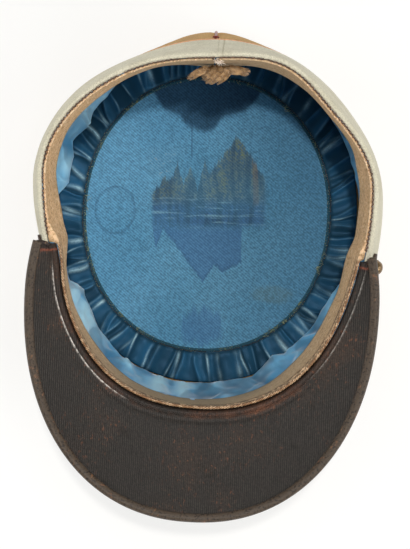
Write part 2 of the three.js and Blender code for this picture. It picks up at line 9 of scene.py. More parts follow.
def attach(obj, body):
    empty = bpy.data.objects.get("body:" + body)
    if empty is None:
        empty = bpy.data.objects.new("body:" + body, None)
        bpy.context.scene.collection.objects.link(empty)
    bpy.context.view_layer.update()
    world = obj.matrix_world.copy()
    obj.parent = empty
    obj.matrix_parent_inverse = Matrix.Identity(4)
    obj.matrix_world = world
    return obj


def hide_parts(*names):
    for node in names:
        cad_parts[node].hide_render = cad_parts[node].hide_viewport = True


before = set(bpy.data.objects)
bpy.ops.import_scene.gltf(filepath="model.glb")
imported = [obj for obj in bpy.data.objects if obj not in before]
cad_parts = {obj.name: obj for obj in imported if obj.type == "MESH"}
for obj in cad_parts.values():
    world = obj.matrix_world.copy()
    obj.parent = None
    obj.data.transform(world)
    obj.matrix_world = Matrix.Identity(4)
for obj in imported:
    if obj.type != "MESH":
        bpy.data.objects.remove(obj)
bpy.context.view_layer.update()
print("stage: frame loaded")

# Everything below is worked out in millimetres and turned into metres when a mesh is made.
toMetres = 0.001
gap = 0.3
backTurn = math.radians(90)
frontTurn = math.radians(270)

capShape = {
    "crownHalfWidth": 91.5, "crownFront": 102, "crownBack": 106, "crownWidestAt": 4,
    "crownFrontFullness": 2.1, "crownBackFullness": 2.0,
    "rimHalfWidth": 93, "rimFront": 115, "rimBack": 86, "rimWidestAt": 16,
    "rimFrontFullness": 2.2, "rimBackFullness": 1.95,
    "frontHeight": 75, "backHeight": 105,
    "sideBelly": 5.2, "frontBelly": 2, "backBelly": 5, "dentDepth": 5,
    "crownThickness": 2.5, "turbanThickness": 2.2, "bandThickness": 3, "bandHeight": 38,
}

# where the worn wall is dented or pushed out: degrees, and shares at crown, belly and rim
dentSpread = 22
wallDents = [
    {"at": 0, "crown": 0, "belly": 0.15, "rim": 0.15},
    {"at": 30, "crown": 0, "belly": -0.5, "rim": -0.8},
    {"at": 60, "crown": -0.8, "belly": -0.4, "rim": 0.95},
    {"at": 90, "crown": 0.3, "belly": -0.2, "rim": -0.2},
    {"at": 120, "crown": -1.1, "belly": -0.9, "rim": 0.1},
    {"at": 180, "crown": 0, "belly": 0.2, "rim": 0.2},
    {"at": 210, "crown": 0, "belly": -0.8, "rim": -0.4},
    {"at": 240, "crown": 0, "belly": 0.05, "rim": 0.35},
    {"at": 270, "crown": 0, "belly": 0, "rim": -0.2},
    {"at": 300, "crown": 0, "belly": -0.1, "rim": 0.5},
    {"at": 330, "crown": 0, "belly": 0.25, "rim": 0.05},
]
rootKinks = [{"at": 207, "spread": 9, "push": 0.5}]


def lerp(a, b, share):
    return a + (b - a) * share


def smoothStep(value, low, high):
    share = np.clip((value - low) / (high - low), 0, 1)
    return share * share * (3 - 2 * share)


def apart(around, at):
    return np.abs((np.degrees(around) - at + 540) % 360 - 180)


def bump(around, at, spread):
    return np.exp(-((apart(around, at) / spread) ** 2))


def ovalReach(around, halfWidth, front, back, widestAt, frontFullness, backFullness):
    along = np.sin(around)
    length = np.where(along < 0, front + widestAt, back - widestAt)
    fullness = np.where(along < 0, frontFullness, backFullness)
    across = (np.abs(np.cos(around)) / halfWidth) ** fullness
    return (across + (np.abs(along) / length) ** fullness) ** (-1 / fullness)


def wallOutline(around, up):
    s = capShape
    belly = np.sin(np.pi * np.clip(up, 0, 1))
    widestAt = lerp(s["crownWidestAt"], s["rimWidestAt"], up)
    reach = ovalReach(
        around,
        lerp(s["crownHalfWidth"], s["rimHalfWidth"], up) + s["sideBelly"] * belly,
        lerp(s["crownFront"], s["rimFront"], up) + s["frontBelly"] * belly,
        lerp(s["crownBack"], s["rimBack"], up) + s["backBelly"] * belly,
        widestAt,
        lerp(s["crownFrontFullness"], s["rimFrontFullness"], up),
        lerp(s["crownBackFullness"], s["rimBackFullness"], up),
    )
    for row in wallDents:
        push = row["crown"] * (1 - up) * (1 - 2 * up)
        push = push + row["belly"] * 4 * up * (1 - up) + row["rim"] * up * (2 * up - 1)
        reach = reach + s["dentDepth"] * push * bump(around, row["at"], dentSpread)
    return reach * np.cos(around), widestAt + reach * np.sin(around)


def insetOutline(around, up, inset):
    step = math.radians(0.5)
    x, y = wallOutline(around, up)
    aheadX, aheadY = wallOutline(around + step, up)
    behindX, behindY = wallOutline(around - step, up)
    run = np.hypot(aheadX - behindX, aheadY - behindY)
    normalX, normalY = (aheadY - behindY) / run, -(aheadX - behindX) / run
    return x - inset * normalX, y - inset * normalY


def rimPlane(y):
    s = capShape
    return lerp(s["frontHeight"], s["backHeight"], (y + s["rimFront"]) / (s["rimFront"] + s["rimBack"]))


def rimHeight(around):
    return rimPlane(wallOutline(around, 1.0)[1])


def seamHeight(around):
    return rimHeight(around) - capShape["bandHeight"]


def wallPoints(around, z, inset):
    around, z, inset = np.broadcast_arrays(around, z, inset)
    x, y = insetOutline(around, z / rimHeight(around), inset)
    return np.stack([x, y, z], axis=-1)


def rimPoints(around, inset, rise):
    around, inset, rise = np.broadcast_arrays(around, inset, rise)
    x, y = insetOutline(around, 1.0, inset)
    return np.stack([x, y, rimPlane(y) + rise], axis=-1)


def kinkAt(around):
    push = 0
    for row in rootKinks:
        push = push + capShape["dentDepth"] * row["push"] * bump(around, row["at"], row["spread"])
    return push


def turns(count, start=0.0, end=2 * math.pi, closed=True):
    return np.linspace(start, end, count, endpoint=not closed)


# A table's value in each direction, eased or straight from one row to the next
def valueBetween(rows, around, name, eased=True):
    at = np.array([row["at"] for row in rows] + [rows[0]["at"] + 360], dtype=float)
    value = np.array([row[name] for row in rows] + [rows[0][name]], dtype=float)
    turn = (np.degrees(around) - at[0]) % 360 + at[0]
    after = np.clip(np.searchsorted(at, turn, side="right"), 1, len(rows))
    part = (turn - at[after - 1]) / (at[after] - at[after - 1])
    return lerp(value[after - 1], value[after], smoothStep(part, 0, 1) if eased else part)


def softNoise(points, size, seed):
    shift = Vector((seed * 7.3, seed * 3.1, seed * 5.7))
    flat = points.reshape(-1, 3) / size
    values = [noise.noise(Vector(p) + shift) for p in flat]
    return np.array(values).reshape(points.shape[:-1])


def outward(points):
    ahead = np.roll(points, -1, axis=0) - np.roll(points, 1, axis=0)
    side = np.stack([ahead[..., 1], -ahead[..., 0], np.zeros(ahead.shape[:-1])], axis=-1)
    return side / np.maximum(np.linalg.norm(side, axis=-1, keepdims=True), 1e-9)


# A closed skin through rows of cross-sections, with its UVs in metres round and across
def skinOf(name, sections, closed=True, capEnds=True, zones=None):
    rows, size = sections.shape[:2]
    verts = (sections.reshape(-1, 3) * toMetres).tolist()
    spans = rows if closed else rows - 1
    around = np.linalg.norm(np.diff(sections, axis=0, append=sections[:1]), axis=-1).mean(axis=1)
    across = np.linalg.norm(np.diff(sections, axis=1, append=sections[:, :1]), axis=-1).mean(axis=0)
    u = np.concatenate([[0], np.cumsum(around)]) * toMetres
    v = np.concatenate([[0], np.cumsum(across)]) * toMetres
    faces, corners, slots = [], [], []
    for i in range(spans):
        near, far = i * size, (i + 1) % rows * size
        for j in range(size):
            k = (j + 1) % size
            faces.append((near + j, far + j, far + k, near + k))
            corners.extend([(u[i], v[j]), (u[i + 1], v[j]), (u[i + 1], v[j + 1]), (u[i], v[j + 1])])
            slots.append(zones[j] if zones else 0)
    if not closed and capEnds:
        last = (rows - 1) * size
        faces.append(tuple(range(size)))
        faces.append(tuple(last + j for j in reversed(range(size))))
        corners.extend([(0, v[j]) for j in range(size)])
        corners.extend([(u[rows - 1], v[j]) for j in reversed(range(size))])
        slots.extend([zones[0] if zones else 0] * 2)
    return pieceFrom(name, verts, faces, corners, slots)


def pieceFrom(name, verts, faces, corners=None, slots=None):
    mesh = bpy.data.meshes.new(name)
    mesh.from_pydata(verts, [], faces)
    if corners:
        layer = mesh.uv_layers.new(name="UVMap")
        layer.data.foreach_set("uv", np.array(corners, dtype=float).ravel())
    if slots:
        mesh.polygons.foreach_set("material_index", slots)
    work = bmesh.new()
    work.from_mesh(mesh)
    bmesh.ops.recalc_face_normals(work, faces=work.faces)
    work.to_mesh(mesh)
    work.free()
    mesh.polygons.foreach_set("use_smooth", [True] * len(mesh.polygons))
    piece = bpy.data.objects.new(name, mesh)
    bpy.context.scene.collection.objects.link(piece)
    return piece


# Adds one tapering tube along a path to the lists of a shared mesh
def addTube(verts, faces, path, radius, sides=5, tip=1.0):
    path = [Vector(p) for p in path]
    start = len(verts)
    for i, point in enumerate(path):
        ahead = path[min(i + 1, len(path) - 1)] - path[max(i - 1, 0)]
        ahead.normalize()
        across = ahead.cross(Vector((0, 0, 1)))
        if across.length < 0.05:
            across = ahead.cross(Vector((1, 0, 0)))
        across.normalize()
        rise = across.cross(ahead)
        size = radius * lerp(1, tip, i / max(len(path) - 1, 1))
        for k in range(sides):
            turn = 2 * math.pi * k / sides
            spot = point + across * math.cos(turn) * size + rise * math.sin(turn) * size
            verts.append(tuple(spot * toMetres))
    for i in range(len(path) - 1):
        for k in range(sides):
            a, b = start + i * sides + k, start + i * sides + (k + 1) % sides
            faces.append((a, b, b + sides, a + sides))
    faces.append(tuple(start + k for k in reversed(range(sides))))
    faces.append(tuple(start + (len(path) - 1) * sides + k for k in range(sides)))


def storeMask(piece, name, values):
    layer = piece.data.attributes.new(name=name, type="FLOAT", domain="POINT")
    layer.data.foreach_set("value", np.asarray(values, dtype=float).ravel())


# Node helpers

def put(tree, kind, feeds=None, **settings):
    node = tree.nodes.new("ShaderNode" + kind)
    count = len(tree.nodes)
    node.location = (count % 8 * 190, count // 8 * -240)
    for name, value in settings.items():
        setattr(node, name, value)
    for name, value in (feeds or {}).items():
        if isinstance(value, bpy.types.NodeSocket):
            tree.links.new(value, node.inputs[name])
        else:
            node.inputs[name].default_value = value
    return node


def calc(tree, operation, first, second=0.0, clamp=False):
    return put(tree, "Math", {0: first, 1: second}, operation=operation, use_clamp=clamp).outputs[0]


def times(tree, first, second, clamp=False):
    return calc(tree, "MULTIPLY", first, second, clamp)


def plus(tree, first, second, clamp=False):
    return calc(tree, "ADD", first, second, clamp)


def minus(tree, first, second, clamp=False):
    return calc(tree, "SUBTRACT", first, second, clamp)


def noiseAt(tree, vector, scale, detail, roughness=0.5):
    feeds = {"Vector": vector, "Scale": scale, "Detail": detail, "Roughness": roughness}
    return put(tree, "TexNoise", feeds).outputs[0]


def stretch(tree, vector, amounts):
    return put(tree, "VectorMath", {0: vector, 1: amounts}, operation="MULTIPLY").outputs[0]


def maskOf(tree, name):
    return put(tree, "Attribute", attribute_name=name).outputs["Fac"]


def mixColour(tree, share, first, second, blend="MIX"):
    node = put(tree, "Mix", {0: share, 6: first, 7: second}, data_type="RGBA", blend_type=blend)
    return node.outputs[2]


def ramp(tree, value, low, high, start=0.0, end=1.0):
    feeds = {0: value, 1: low, 2: high, 3: start, 4: end}
    return put(tree, "MapRange", feeds, interpolation_type="SMOOTHSTEP").outputs[0]


def newGroup(name, inputs, outputs):
    tree = bpy.data.node_groups.new(name, "ShaderNodeTree")
    for label, kind, value in inputs:
        socket = tree.interface.new_socket(name=label, in_out="INPUT", socket_type="NodeSocket" + kind)
        if value is not None:
            socket.default_value = value
    for label, kind in outputs:
        tree.interface.new_socket(name=label, in_out="OUTPUT", socket_type="NodeSocket" + kind)
    entry = tree.nodes.new("NodeGroupInput")
    leave = tree.nodes.new("NodeGroupOutput")
    leave.location = (1600, 0)
    return tree, entry.outputs, leave.inputs


def useGroup(tree, group, feeds):
    node = put(tree, "Group", node_tree=group)
    for name, value in feeds.items():
        if isinstance(value, bpy.types.NodeSocket):
            tree.links.new(value, node.inputs[name])
        else:
            node.inputs[name].default_value = value
    return node.outputs


def colour(hexText):
    parts = [int(hexText[i:i + 2], 16) / 255 for i in (0, 2, 4)]
    linear = [c / 12.92 if c <= 0.04045 else ((c + 0.055) / 1.055) ** 2.4 for c in parts]
    return (*linear, 1.0)


# Effects that several materials share

def makeWoolNap():
    tree, entry, leave = newGroup("woolNap", [
        ("Vector", "Vector", None), ("Colour", "Color", colour("c9c8b8")),
        ("Shade", "Color", colour("a8a593")), ("Fibre Size", "Float", 900.0),
        ("Mottle Size", "Float", 60.0), ("Mottle", "Float", 0.5),
    ], [("Colour", "Color"), ("Height", "Float")])
    fibre = noiseAt(tree, entry["Vector"], entry["Fibre Size"], 3.0)
    mottle = noiseAt(tree, entry["Vector"], entry["Mottle Size"], 4.0)
    patch = times(tree, ramp(tree, mottle, 0.4, 0.7), entry["Mottle"])
    toned = mixColour(tree, patch, entry["Colour"], entry["Shade"])
    speck = ramp(tree, fibre, 0.35, 0.65, 0.86, 1.1)
    tree.links.new(mixColour(tree, 1.0, toned, speck, "MULTIPLY"), leave["Colour"])
    tree.links.new(fibre, leave["Height"])
    return tree


def makeThreadWeave():
    tree, entry, leave = newGroup("threadWeave", [
        ("Vector", "Vector", None), ("Pitch", "Float", 0.0012), ("Turn", "Float", 0.785),
        ("Cross", "Float", 0.4), ("Wobble", "Float", 0.15),
    ], [("Height", "Float"), ("Shade", "Float")])
    warp = noiseAt(tree, entry["Vector"], 70.0, 2.0)
    turned = put(
        tree, "VectorRotate", {"Vector": entry["Vector"], "Angle": entry["Turn"]}, rotation_type="Z_AXIS",
    )
    split = put(tree, "SeparateXYZ", {0: turned.outputs[0]})
    shift = times(tree, warp, times(tree, entry["Wobble"], 12.0))
    waves = []
    for axis in ("X", "Y"):
        phase = calc(tree, "DIVIDE", times(tree, split.outputs[axis], 2 * math.pi), entry["Pitch"])
        wave = calc(tree, "SINE", plus(tree, phase, shift))
        waves.append(calc(tree, "MULTIPLY_ADD", wave, 0.5))
    for wave in waves:
        wave.node.inputs[2].default_value = 0.5
    crossed = times(tree, waves[1], entry["Cross"])
    height = plus(tree, waves[0], crossed)
    tree.links.new(height, leave["Height"])
    tree.links.new(waves[0], leave["Shade"])
    return tree


def makeLeatherGrain():
    tree, entry, leave = newGroup("leatherGrain", [
        ("Vector", "Vector", None), ("Grain Size", "Float", 900.0), ("Wear Size", "Float", 45.0),
        ("Wear", "Float", 0.5),
    ], [("Height", "Float"), ("Wear Mask", "Float"), ("Pits", "Float")])
    cells = put(
        tree, "TexVoronoi", {"Vector": entry["Vector"], "Scale": entry["Grain Size"]}, feature="F1",
    )
    fine = noiseAt(tree, entry["Vector"], entry["Grain Size"], 4.0)
    broad = noiseAt(tree, entry["Vector"], entry["Wear Size"], 8.0, 0.7)
    height = plus(tree, times(tree, cells.outputs[0], 0.5), times(tree, fine, 0.6))
    tree.links.new(height, leave["Height"])
    level = minus(tree, 0.72, times(tree, entry["Wear"], 0.3))
    mask = put(
        tree, "MapRange", {0: broad, 1: level, 2: plus(tree, level, 0.14)},
        interpolation_type="SMOOTHSTEP",
    )
    tree.links.new(mask.outputs[0], leave["Wear Mask"])
    tree.links.new(ramp(tree, fine, 0.36, 0.5), leave["Pits"])
    return tree


def makeScratches():
    tree, entry, leave = newGroup("scratches", [
        ("Vector", "Vector", None), ("Scale", "Float", 18.0), ("Turn", "Float", 0.4),
        ("Thinness", "Float", 0.02),
    ], [("Mask", "Float")])
    turned = put(
        tree, "VectorRotate", {"Vector": entry["Vector"], "Angle": entry["Turn"]}, rotation_type="Z_AXIS",
    )
    stretched = stretch(tree, turned.outputs[0], (6.0, 0.7, 1.0))
    lines = put(
        tree, "TexNoise",
        {"Vector": stretched, "Scale": entry["Scale"], "Detail": 5.0, "Distortion": 0.6},
    )
    far = calc(tree, "ABSOLUTE", minus(tree, lines.outputs[0], 0.5))
    thin = minus(tree, 1.0, calc(tree, "DIVIDE", far, entry["Thinness"], True), True)
    broken = noiseAt(tree, entry["Vector"], times(tree, entry["Scale"], 3.0), 3.0)
    tree.links.new(times(tree, thin, ramp(tree, broken, 0.55, 0.68)), leave["Mask"])
    return tree


def makeStainBlot():
    tree, entry, leave = newGroup("stainBlot", [
        ("Vector", "Vector", None), ("Centre", "Vector", (0, 0, 0)), ("Size", "Vector", (0.03, 0.03, 1)),
        ("Streak", "Vector", (160.0, 18.0, 1.0)), ("Ragged", "Float", 0.5), ("Edge", "Float", 0.06),
    ], [("Mask", "Float"), ("Rim", "Float")])
    offset = put(tree, "VectorMath", {0: entry["Vector"], 1: entry["Centre"]}, operation="SUBTRACT")
    scaled = put(tree, "VectorMath", {0: offset.outputs[0], 1: entry["Size"]}, operation="DIVIDE")
    flat = stretch(tree, scaled.outputs[0], (1.0, 1.0, 0.0))
    reach = put(tree, "VectorMath", {0: flat}, operation="LENGTH")
    streak = stretch(tree, entry["Vector"], entry["Streak"])
    ragged = noiseAt(tree, streak, 1.0, 4.0, 0.6)
    wander = times(tree, minus(tree, ragged, 0.5), entry["Ragged"])
    level = plus(tree, minus(tree, 1.0, reach.outputs[1]), times(tree, wander, 2.0))
    mask = put(tree, "MapRange", {0: level, 1: 0.0, 2: entry["Edge"]}, interpolation_type="SMOOTHSTEP")
    inner = put(tree, "MapRange", {0: level, 1: entry["Edge"], 2: times(tree, entry["Edge"], 3.0)})
    tree.links.new(mask.outputs[0], leave["Mask"])
    tree.links.new(minus(tree, mask.outputs[0], inner.outputs[0], True), leave["Rim"])
    return tree


woolNap = makeWoolNap()
threadWeave = makeThreadWeave()
leatherGrain = makeLeatherGrain()
scratches = makeScratches()
stainBlot = makeStainBlot()


def newMaterial(name):
    material = bpy.data.materials.new(name)
    material.use_nodes = True
    tree = material.node_tree
    tree.nodes.clear()
    output = put(tree, "OutputMaterial")
    shader = put(tree, "BsdfPrincipled")
    tree.links.new(shader.outputs[0], output.inputs[0])
    return material, tree, shader


def setShader(shader, values):
    for name, value in values.items():
        shader.inputs[name].default_value = value


def addBump(tree, shader, height, strength, distance):
    node = put(tree, "Bump", {"Height": height, "Strength": strength, "Distance": distance})
    tree.links.new(node.outputs[0], shader.inputs["Normal"])


def placeCoords(tree):
    coords = put(tree, "TexCoord")
    return coords.outputs["Object"], coords.outputs["UV"]


def woolMaterial(name, look):
    material, tree, shader = newMaterial(name)
    place, cloth = placeCoords(tree)
    nap = useGroup(tree, woolNap, {
        "Vector": place, "Colour": colour(look["base"]), "Shade": colour(look["shade"]),
        "Fibre Size": look["fibreSize"], "Mottle Size": look["mottleSize"], "Mottle": look["mottle"],
    })
    soil = useGroup(
        tree, leatherGrain,
        {"Vector": place, "Grain Size": 500.0, "Wear Size": look["soilSize"], "Wear": look["soilAmount"]},
    )
    base = mixColour(
        tree, times(tree, soil["Wear Mask"], look["soilShare"]), nap["Colour"], colour(look["soil"]),
    )
    tree.links.new(base, shader.inputs["Base Color"])
    setShader(
        shader,
        {
            "Roughness": 0.95, "Sheen Weight": look["sheen"], "Sheen Roughness": 0.6,
            "Specular IOR Level": 0.2,
        },
    )
    addBump(tree, shader, nap["Height"], look["napDepth"], 0.0006)
    return material


def satinMaterial(name, look):
    material, tree, shader = newMaterial(name)
    place, cloth = placeCoords(tree)
    weave = useGroup(
        tree, threadWeave,
        {"Vector": cloth, "Pitch": look["pitch"], "Turn": 0.0, "Cross": 0.2, "Wobble": 0.1},
    )
    patch = noiseAt(tree, place, look["patchSize"], 4.0)
    toned = mixColour(tree, ramp(tree, patch, 0.35, 0.7), colour(look["base"]), colour(look["faded"]))
    age = noiseAt(tree, place, look["ageSize"], 5.0)
    aged = mixColour(
        tree, ramp(tree, age, 0.56, 0.72, 0.0, look["ageShare"]), toned, colour(look["aged"]),
    )
    shade = ramp(tree, weave["Shade"], 0.0, 1.0, 0.9, 1.06)
    tree.links.new(mixColour(tree, 1.0, aged, shade, "MULTIPLY"), shader.inputs["Base Color"])
    tree.links.new(
        ramp(tree, age, 0.3, 0.7, look["roughness"] - 0.05, look["roughness"] + 0.12),
        shader.inputs["Roughness"],
    )
    setShader(
        shader,
        {
            "Sheen Weight": look["sheen"], "Sheen Roughness": 0.35, "Specular IOR Level": look["gloss"],
            "Anisotropic": 0.4,
        },
    )
    addBump(tree, shader, weave["Height"], 0.25, 0.00015)
    return material


def leatherMaterial(name, look):
    material, tree, shader = newMaterial(name)
    place, cloth = placeCoords(tree)
    grain = useGroup(tree, leatherGrain, {
        "Vector": place, "Grain Size": look["grainSize"], "Wear Size": look["wearSize"],
        "Wear": look["wear"],
    })
    marks = useGroup(
        tree, scratches, {"Vector": place, "Scale": look["scratchSize"], "Turn": 0.5, "Thinness": 0.03},
    )
    base = mixColour(tree, grain["Pits"], colour(look["pit"]), colour(look["base"]))
    worn = mixColour(tree, grain["Wear Mask"], base, colour(look["worn"]))
    scratched = mixColour(
        tree, times(tree, marks["Mask"], look["scratchShare"]), worn, colour(look["scratch"]),
    )
    tree.links.new(scratched, shader.inputs["Base Color"])
    rough = ramp(tree, grain["Wear Mask"], 0.0, 1.0, look["roughness"], look["roughness"] + 0.2)
    tree.links.new(rough, shader.inputs["Roughness"])
    setShader(shader, {"Specular IOR Level": look["gloss"]})
    addBump(tree, shader, grain["Height"], look["depth"], 0.0004)
    return material


def threadMaterial(name, look):
    material, tree, shader = newMaterial(name)
    place, cloth = placeCoords(tree)
    speck = noiseAt(tree, place, look["speckSize"], 3.0)
    twist = put(
        tree, "TexWave", {"Vector": place, "Scale": look["twist"], "Distortion": 1.0},
        bands_direction="DIAGONAL",
    )
    base = mixColour(tree, ramp(tree, speck, 0.35, 0.65), colour(look["base"]), colour(look["shade"]))
    tree.links.new(base, shader.inputs["Base Color"])
    setShader(shader, {"Roughness": 0.9, "Sheen Weight": 0.3})
    addBump(tree, shader, twist.outputs[1], 0.5, 0.0003)
    return material


print("stage: material effects ready")

# Camera straight above, turned 3 degrees, as the photo was taken
view = {"height": 1500, "centre": (0.83, -35.0), "turn": 3.0, "lens": 168.85}
cameraData = bpy.data.cameras.new("viewCamera")
cameraData.lens = view["lens"]
cameraData.sensor_width = 36
cameraData.sensor_fit = "AUTO"
cameraData.clip_start = 0.05
cameraData.clip_end = 20
camera = bpy.data.objects.new("viewCamera", cameraData)
camera.location = (view["centre"][0] * toMetres, view["centre"][1] * toMetres, view["height"] * toMetres)
camera.rotation_euler = (0, 0, math.radians(view["turn"]))
bpy.context.scene.collection.objects.link(camera)
bpy.context.scene.camera = camera

# Floor and light: a key from behind the back, and soft light from each side
studio = {"floorSize": 6.0, "floorGlow": 0.68, "worldStrength": 0.12}
suns = [
    {"name": "keySun", "strength": 1.3, "angle": 3, "from": 84, "height": 80},
    {"name": "keyLeftSun", "strength": 0.3, "angle": 16, "from": 122, "height": 72},
    {"name": "keyRightSun", "strength": 0.3, "angle": 16, "from": 38, "height": 72},
    {"name": "fillSun", "strength": 1.0, "angle": 25, "from": 328, "height": 38},
    {"name": "leftSun", "strength": 1.2, "angle": 40, "from": 180, "height": 22},
    {"name": "rightSun", "strength": 0.8, "angle": 40, "from": 0, "height": 25},
    {"name": "frontSun", "strength": 0.9, "angle": 30, "from": 270, "height": 18},
    {"name": "backSun", "strength": 0.4, "angle": 40, "from": 90, "height": 28},
]


def makeStudio():
    half = studio["floorSize"] / 2
    corners = [
        (-half, -half, -0.0004), (half, -half, -0.0004), (half, half, -0.0004), (-half, half, -0.0004),
    ]
    floor = pieceFrom("studioFloor", corners, [(0, 1, 2, 3)])
    material, tree, shader = newMaterial("paleFloor")
    place, cloth = placeCoords(tree)
    cloud = noiseAt(tree, place, 3.0, 2.0)
    tree.links.new(
        mixColour(tree, cloud, colour("91918f"), colour("959492")), shader.inputs["Base Color"],
    )
    setShader(shader, {
        "Roughness": 0.9, "Specular IOR Level": 0.1,
        "Emission Color": colour("fcfdfd"), "Emission Strength": studio["floorGlow"],
    })
    floor.data.materials.append(material)
    world = bpy.data.worlds.new("softWorld")
    world.use_nodes = True
    world.node_tree.nodes["Background"].inputs[0].default_value = (1.0, 0.985, 0.96, 1)
    world.node_tree.nodes["Background"].inputs[1].default_value = studio["worldStrength"]
    bpy.context.scene.world = world
    for row in suns:
        sun = bpy.data.lights.new(row["name"], "SUN")
        sun.energy = row["strength"]
        sun.angle = math.radians(row["angle"])
        sun.color = (1.0, 0.98, 0.95)
        light = bpy.data.objects.new(row["name"], sun)
        turn, height = math.radians(row["from"]), math.radians(row["height"])
        flat = math.cos(height)
        away = Vector((math.cos(turn) * flat, math.sin(turn) * flat, math.sin(height)))
        light.rotation_euler = away.to_track_quat("Z", "Y").to_euler()
        light.location = away * 2
        bpy.context.scene.collection.objects.link(light)
    bpy.context.scene.view_settings.view_transform = "Standard"


makeStudio()
print("stage: camera, floor and light ready")

# Crown
crownLook = {
    "around": 240, "rings": 22, "ripple": 0.35, "seamInset": 5.0, "seamDepth": 0.5,
    "base": "b8935c", "shade": "9d7a47", "soil": "7d6038", "fibreSize": 1100.0, "mottleSize": 50.0,
    "mottle": 0.5, "soilSize": 25.0, "soilAmount": 0.5, "soilShare": 0.4, "sheen": 0.05, "napDepth": 0.5,
}


def makeCrown():
    s = capShape
    around = turns(crownLook["around"])
    edge = wallPoints(around, 0.0, s["turbanThickness"] + gap)
    shares = np.linspace(0.0001, 1, crownLook["rings"]) ** 0.8
    lower = edge[:, None, :] * shares[None, :, None]
    ripple = np.abs(softNoise(lower, 24, 3)) * crownLook["ripple"]
    reach = np.linalg.norm(edge, axis=-1)[:, None] * (1 - shares[None, :])
    groove = crownLook["seamDepth"] * np.exp(-(((reach - crownLook["seamInset"]) / 0.9) ** 2))
    lower[..., 2] = ripple + groove + 0.5 * smoothStep(shares, 0.985, 1.0)
    upper = lower[:, ::-1].copy()
    upper[..., 2] = s["crownThickness"] - 0.4 * smoothStep(shares[::-1], 0.985, 1.0)
    piece = skinOf("crownCloth", np.concatenate([lower, upper], axis=1))
    piece.data.materials.append(woolMaterial("crownWool", crownLook))
    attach(piece, "root")
    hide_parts("crown")


makeCrown()

# Turban, with soft dents and pulls in the wool
turbanLook = {
    "around": 480, "steps": 30, "lift": 0.5, "footRounding": 0.8, "broadDent": 1.1, "smallDent": 0.35,
    "seamPull": 0.6, "base": "b79054", "shade": "9c7742", "soil": "7b6036", "fibreSize": 1100.0,
    "mottleSize": 55.0, "mottle": 0.55, "soilSize": 22.0, "soilAmount": 0.5, "soilShare": 0.45,
    "sheen": 0.05, "napDepth": 0.5,
}


def makeTurban():
    s = capShape
    look = turbanLook
    around = turns(look["around"])[:, None]
    shares = np.linspace(0, 1, look["steps"])[None, :]
    top = seamHeight(around) - 1.0
    z = lerp(look["lift"] + 0.7, top, shares)
    outer = wallPoints(around, z, 0.0)
    dent = look["broadDent"] * softNoise(outer, 42, 5) + look["smallDent"] * softNoise(outer, 13, 8)
    fade = np.sin(np.pi * np.clip(shares, 0, 1)) ** 0.5
    seam = look["seamPull"] * np.exp(-((apart(around, 90) / 1.4) ** 2))
    outer = wallPoints(around, z, -dent * fade + seam)
    inner = wallPoints(around, z[:, ::4], s["turbanThickness"])
    foot = wallPoints(around, look["lift"], look["footRounding"])
    heel = wallPoints(around, look["lift"], s["turbanThickness"])
    piece = skinOf("turbanCloth", np.concatenate([foot, outer, inner[:, ::-1], heel], axis=1))
    piece.data.materials.append(woolMaterial("turbanWool", look))
    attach(piece, "root")
    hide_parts("turban")


makeTurban()

# Band, turned over at the rim and seamed at the back
bandLook = {
    "around": 540, "steps": 22, "rounding": 0.9, "broadDent": 0.5, "smallDent": 0.15, "seamPull": 0.3,
    "foot": 0.5, "base": "c8c4b0", "shade": "b6b099", "soil": "a2977a", "fibreSize": 1300.0,
    "mottleSize": 70.0, "mottle": 0.5, "soilSize": 30.0, "soilAmount": 0.4, "soilShare": 0.3,
    "sheen": 0.05, "napDepth": 0.4, "seam": "8f8a72",
}


def bandSeams(around):
    first = 0.5 * np.exp(-((apart(around, 88.7) / 0.22) ** 2))
    return first + np.exp(-((apart(around, 86.6) / 0.25) ** 2))


def makeBand():
    s = capShape
    look = bandLook
    spans = [(0, 84, 130), (84, 91, 120), (91, 360, 400)]
    degrees = np.concatenate([np.linspace(*span, endpoint=False) for span in spans])
    around = np.radians(degrees)[:, None]
    shares = np.linspace(0, 0.95, look["steps"])[None, :]
    bottom = seamHeight(around) + look["foot"]
    z = lerp(bottom, rimHeight(around), shares)
    outer = wallPoints(around, z, 0.0)
    dent = look["broadDent"] * softNoise(outer, 30, 11) + look["smallDent"] * softNoise(outer, 9, 12)
    seam = look["seamPull"] * bandSeams(around)
    puff = 0.35 * smoothStep(shares, 0.0, 0.06) * (1 - smoothStep(shares, 0.06, 0.3))
    outer = wallPoints(around, z, -dent * np.sin(np.pi * np.clip(shares + 0.04, 0, 1)) + seam - puff)
    inner = wallPoints(around, z[:, ::4], s["bandThickness"])
    r = look["rounding"]
    t = s["bandThickness"]
    rimBits = [
        (0.12, -0.9), (0.4, -0.4), (0.9, -0.08), (t / 2, 0),
        (t - 0.9, -0.08), (t - 0.4, -0.4), (t - 0.12, -0.9),
    ]
    rim = [rimPoints(around[:, 0], inset + seam[:, 0] * 0.5, rise * r) for inset, rise in rimBits]
    sections = np.concatenate([outer, np.stack(rim, axis=1), inner[:, ::-1]], axis=1)
    piece = skinOf("bandCloth", sections)
    storeMask(piece, "seam", bandSeams(around) + np.zeros((1, sections.shape[1])))
    material = woolMaterial("bandWool", look)
    tree = material.node_tree
    shader = next(n for n in tree.nodes if n.type == "BSDF_PRINCIPLED")
    base = shader.inputs["Base Color"].links[0].from_socket
    seamMask = put(tree, "Attribute", attribute_name="seam").outputs["Fac"]
    tree.links.new(
        mixColour(tree, times(tree, seamMask, 0.6), base, colour(look["seam"])),
        shader.inputs["Base Color"],
    )
    piece.data.materials.append(material)
    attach(piece, "root")
    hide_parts("band")


makeBand()
print("stage: crown, turban and band made")

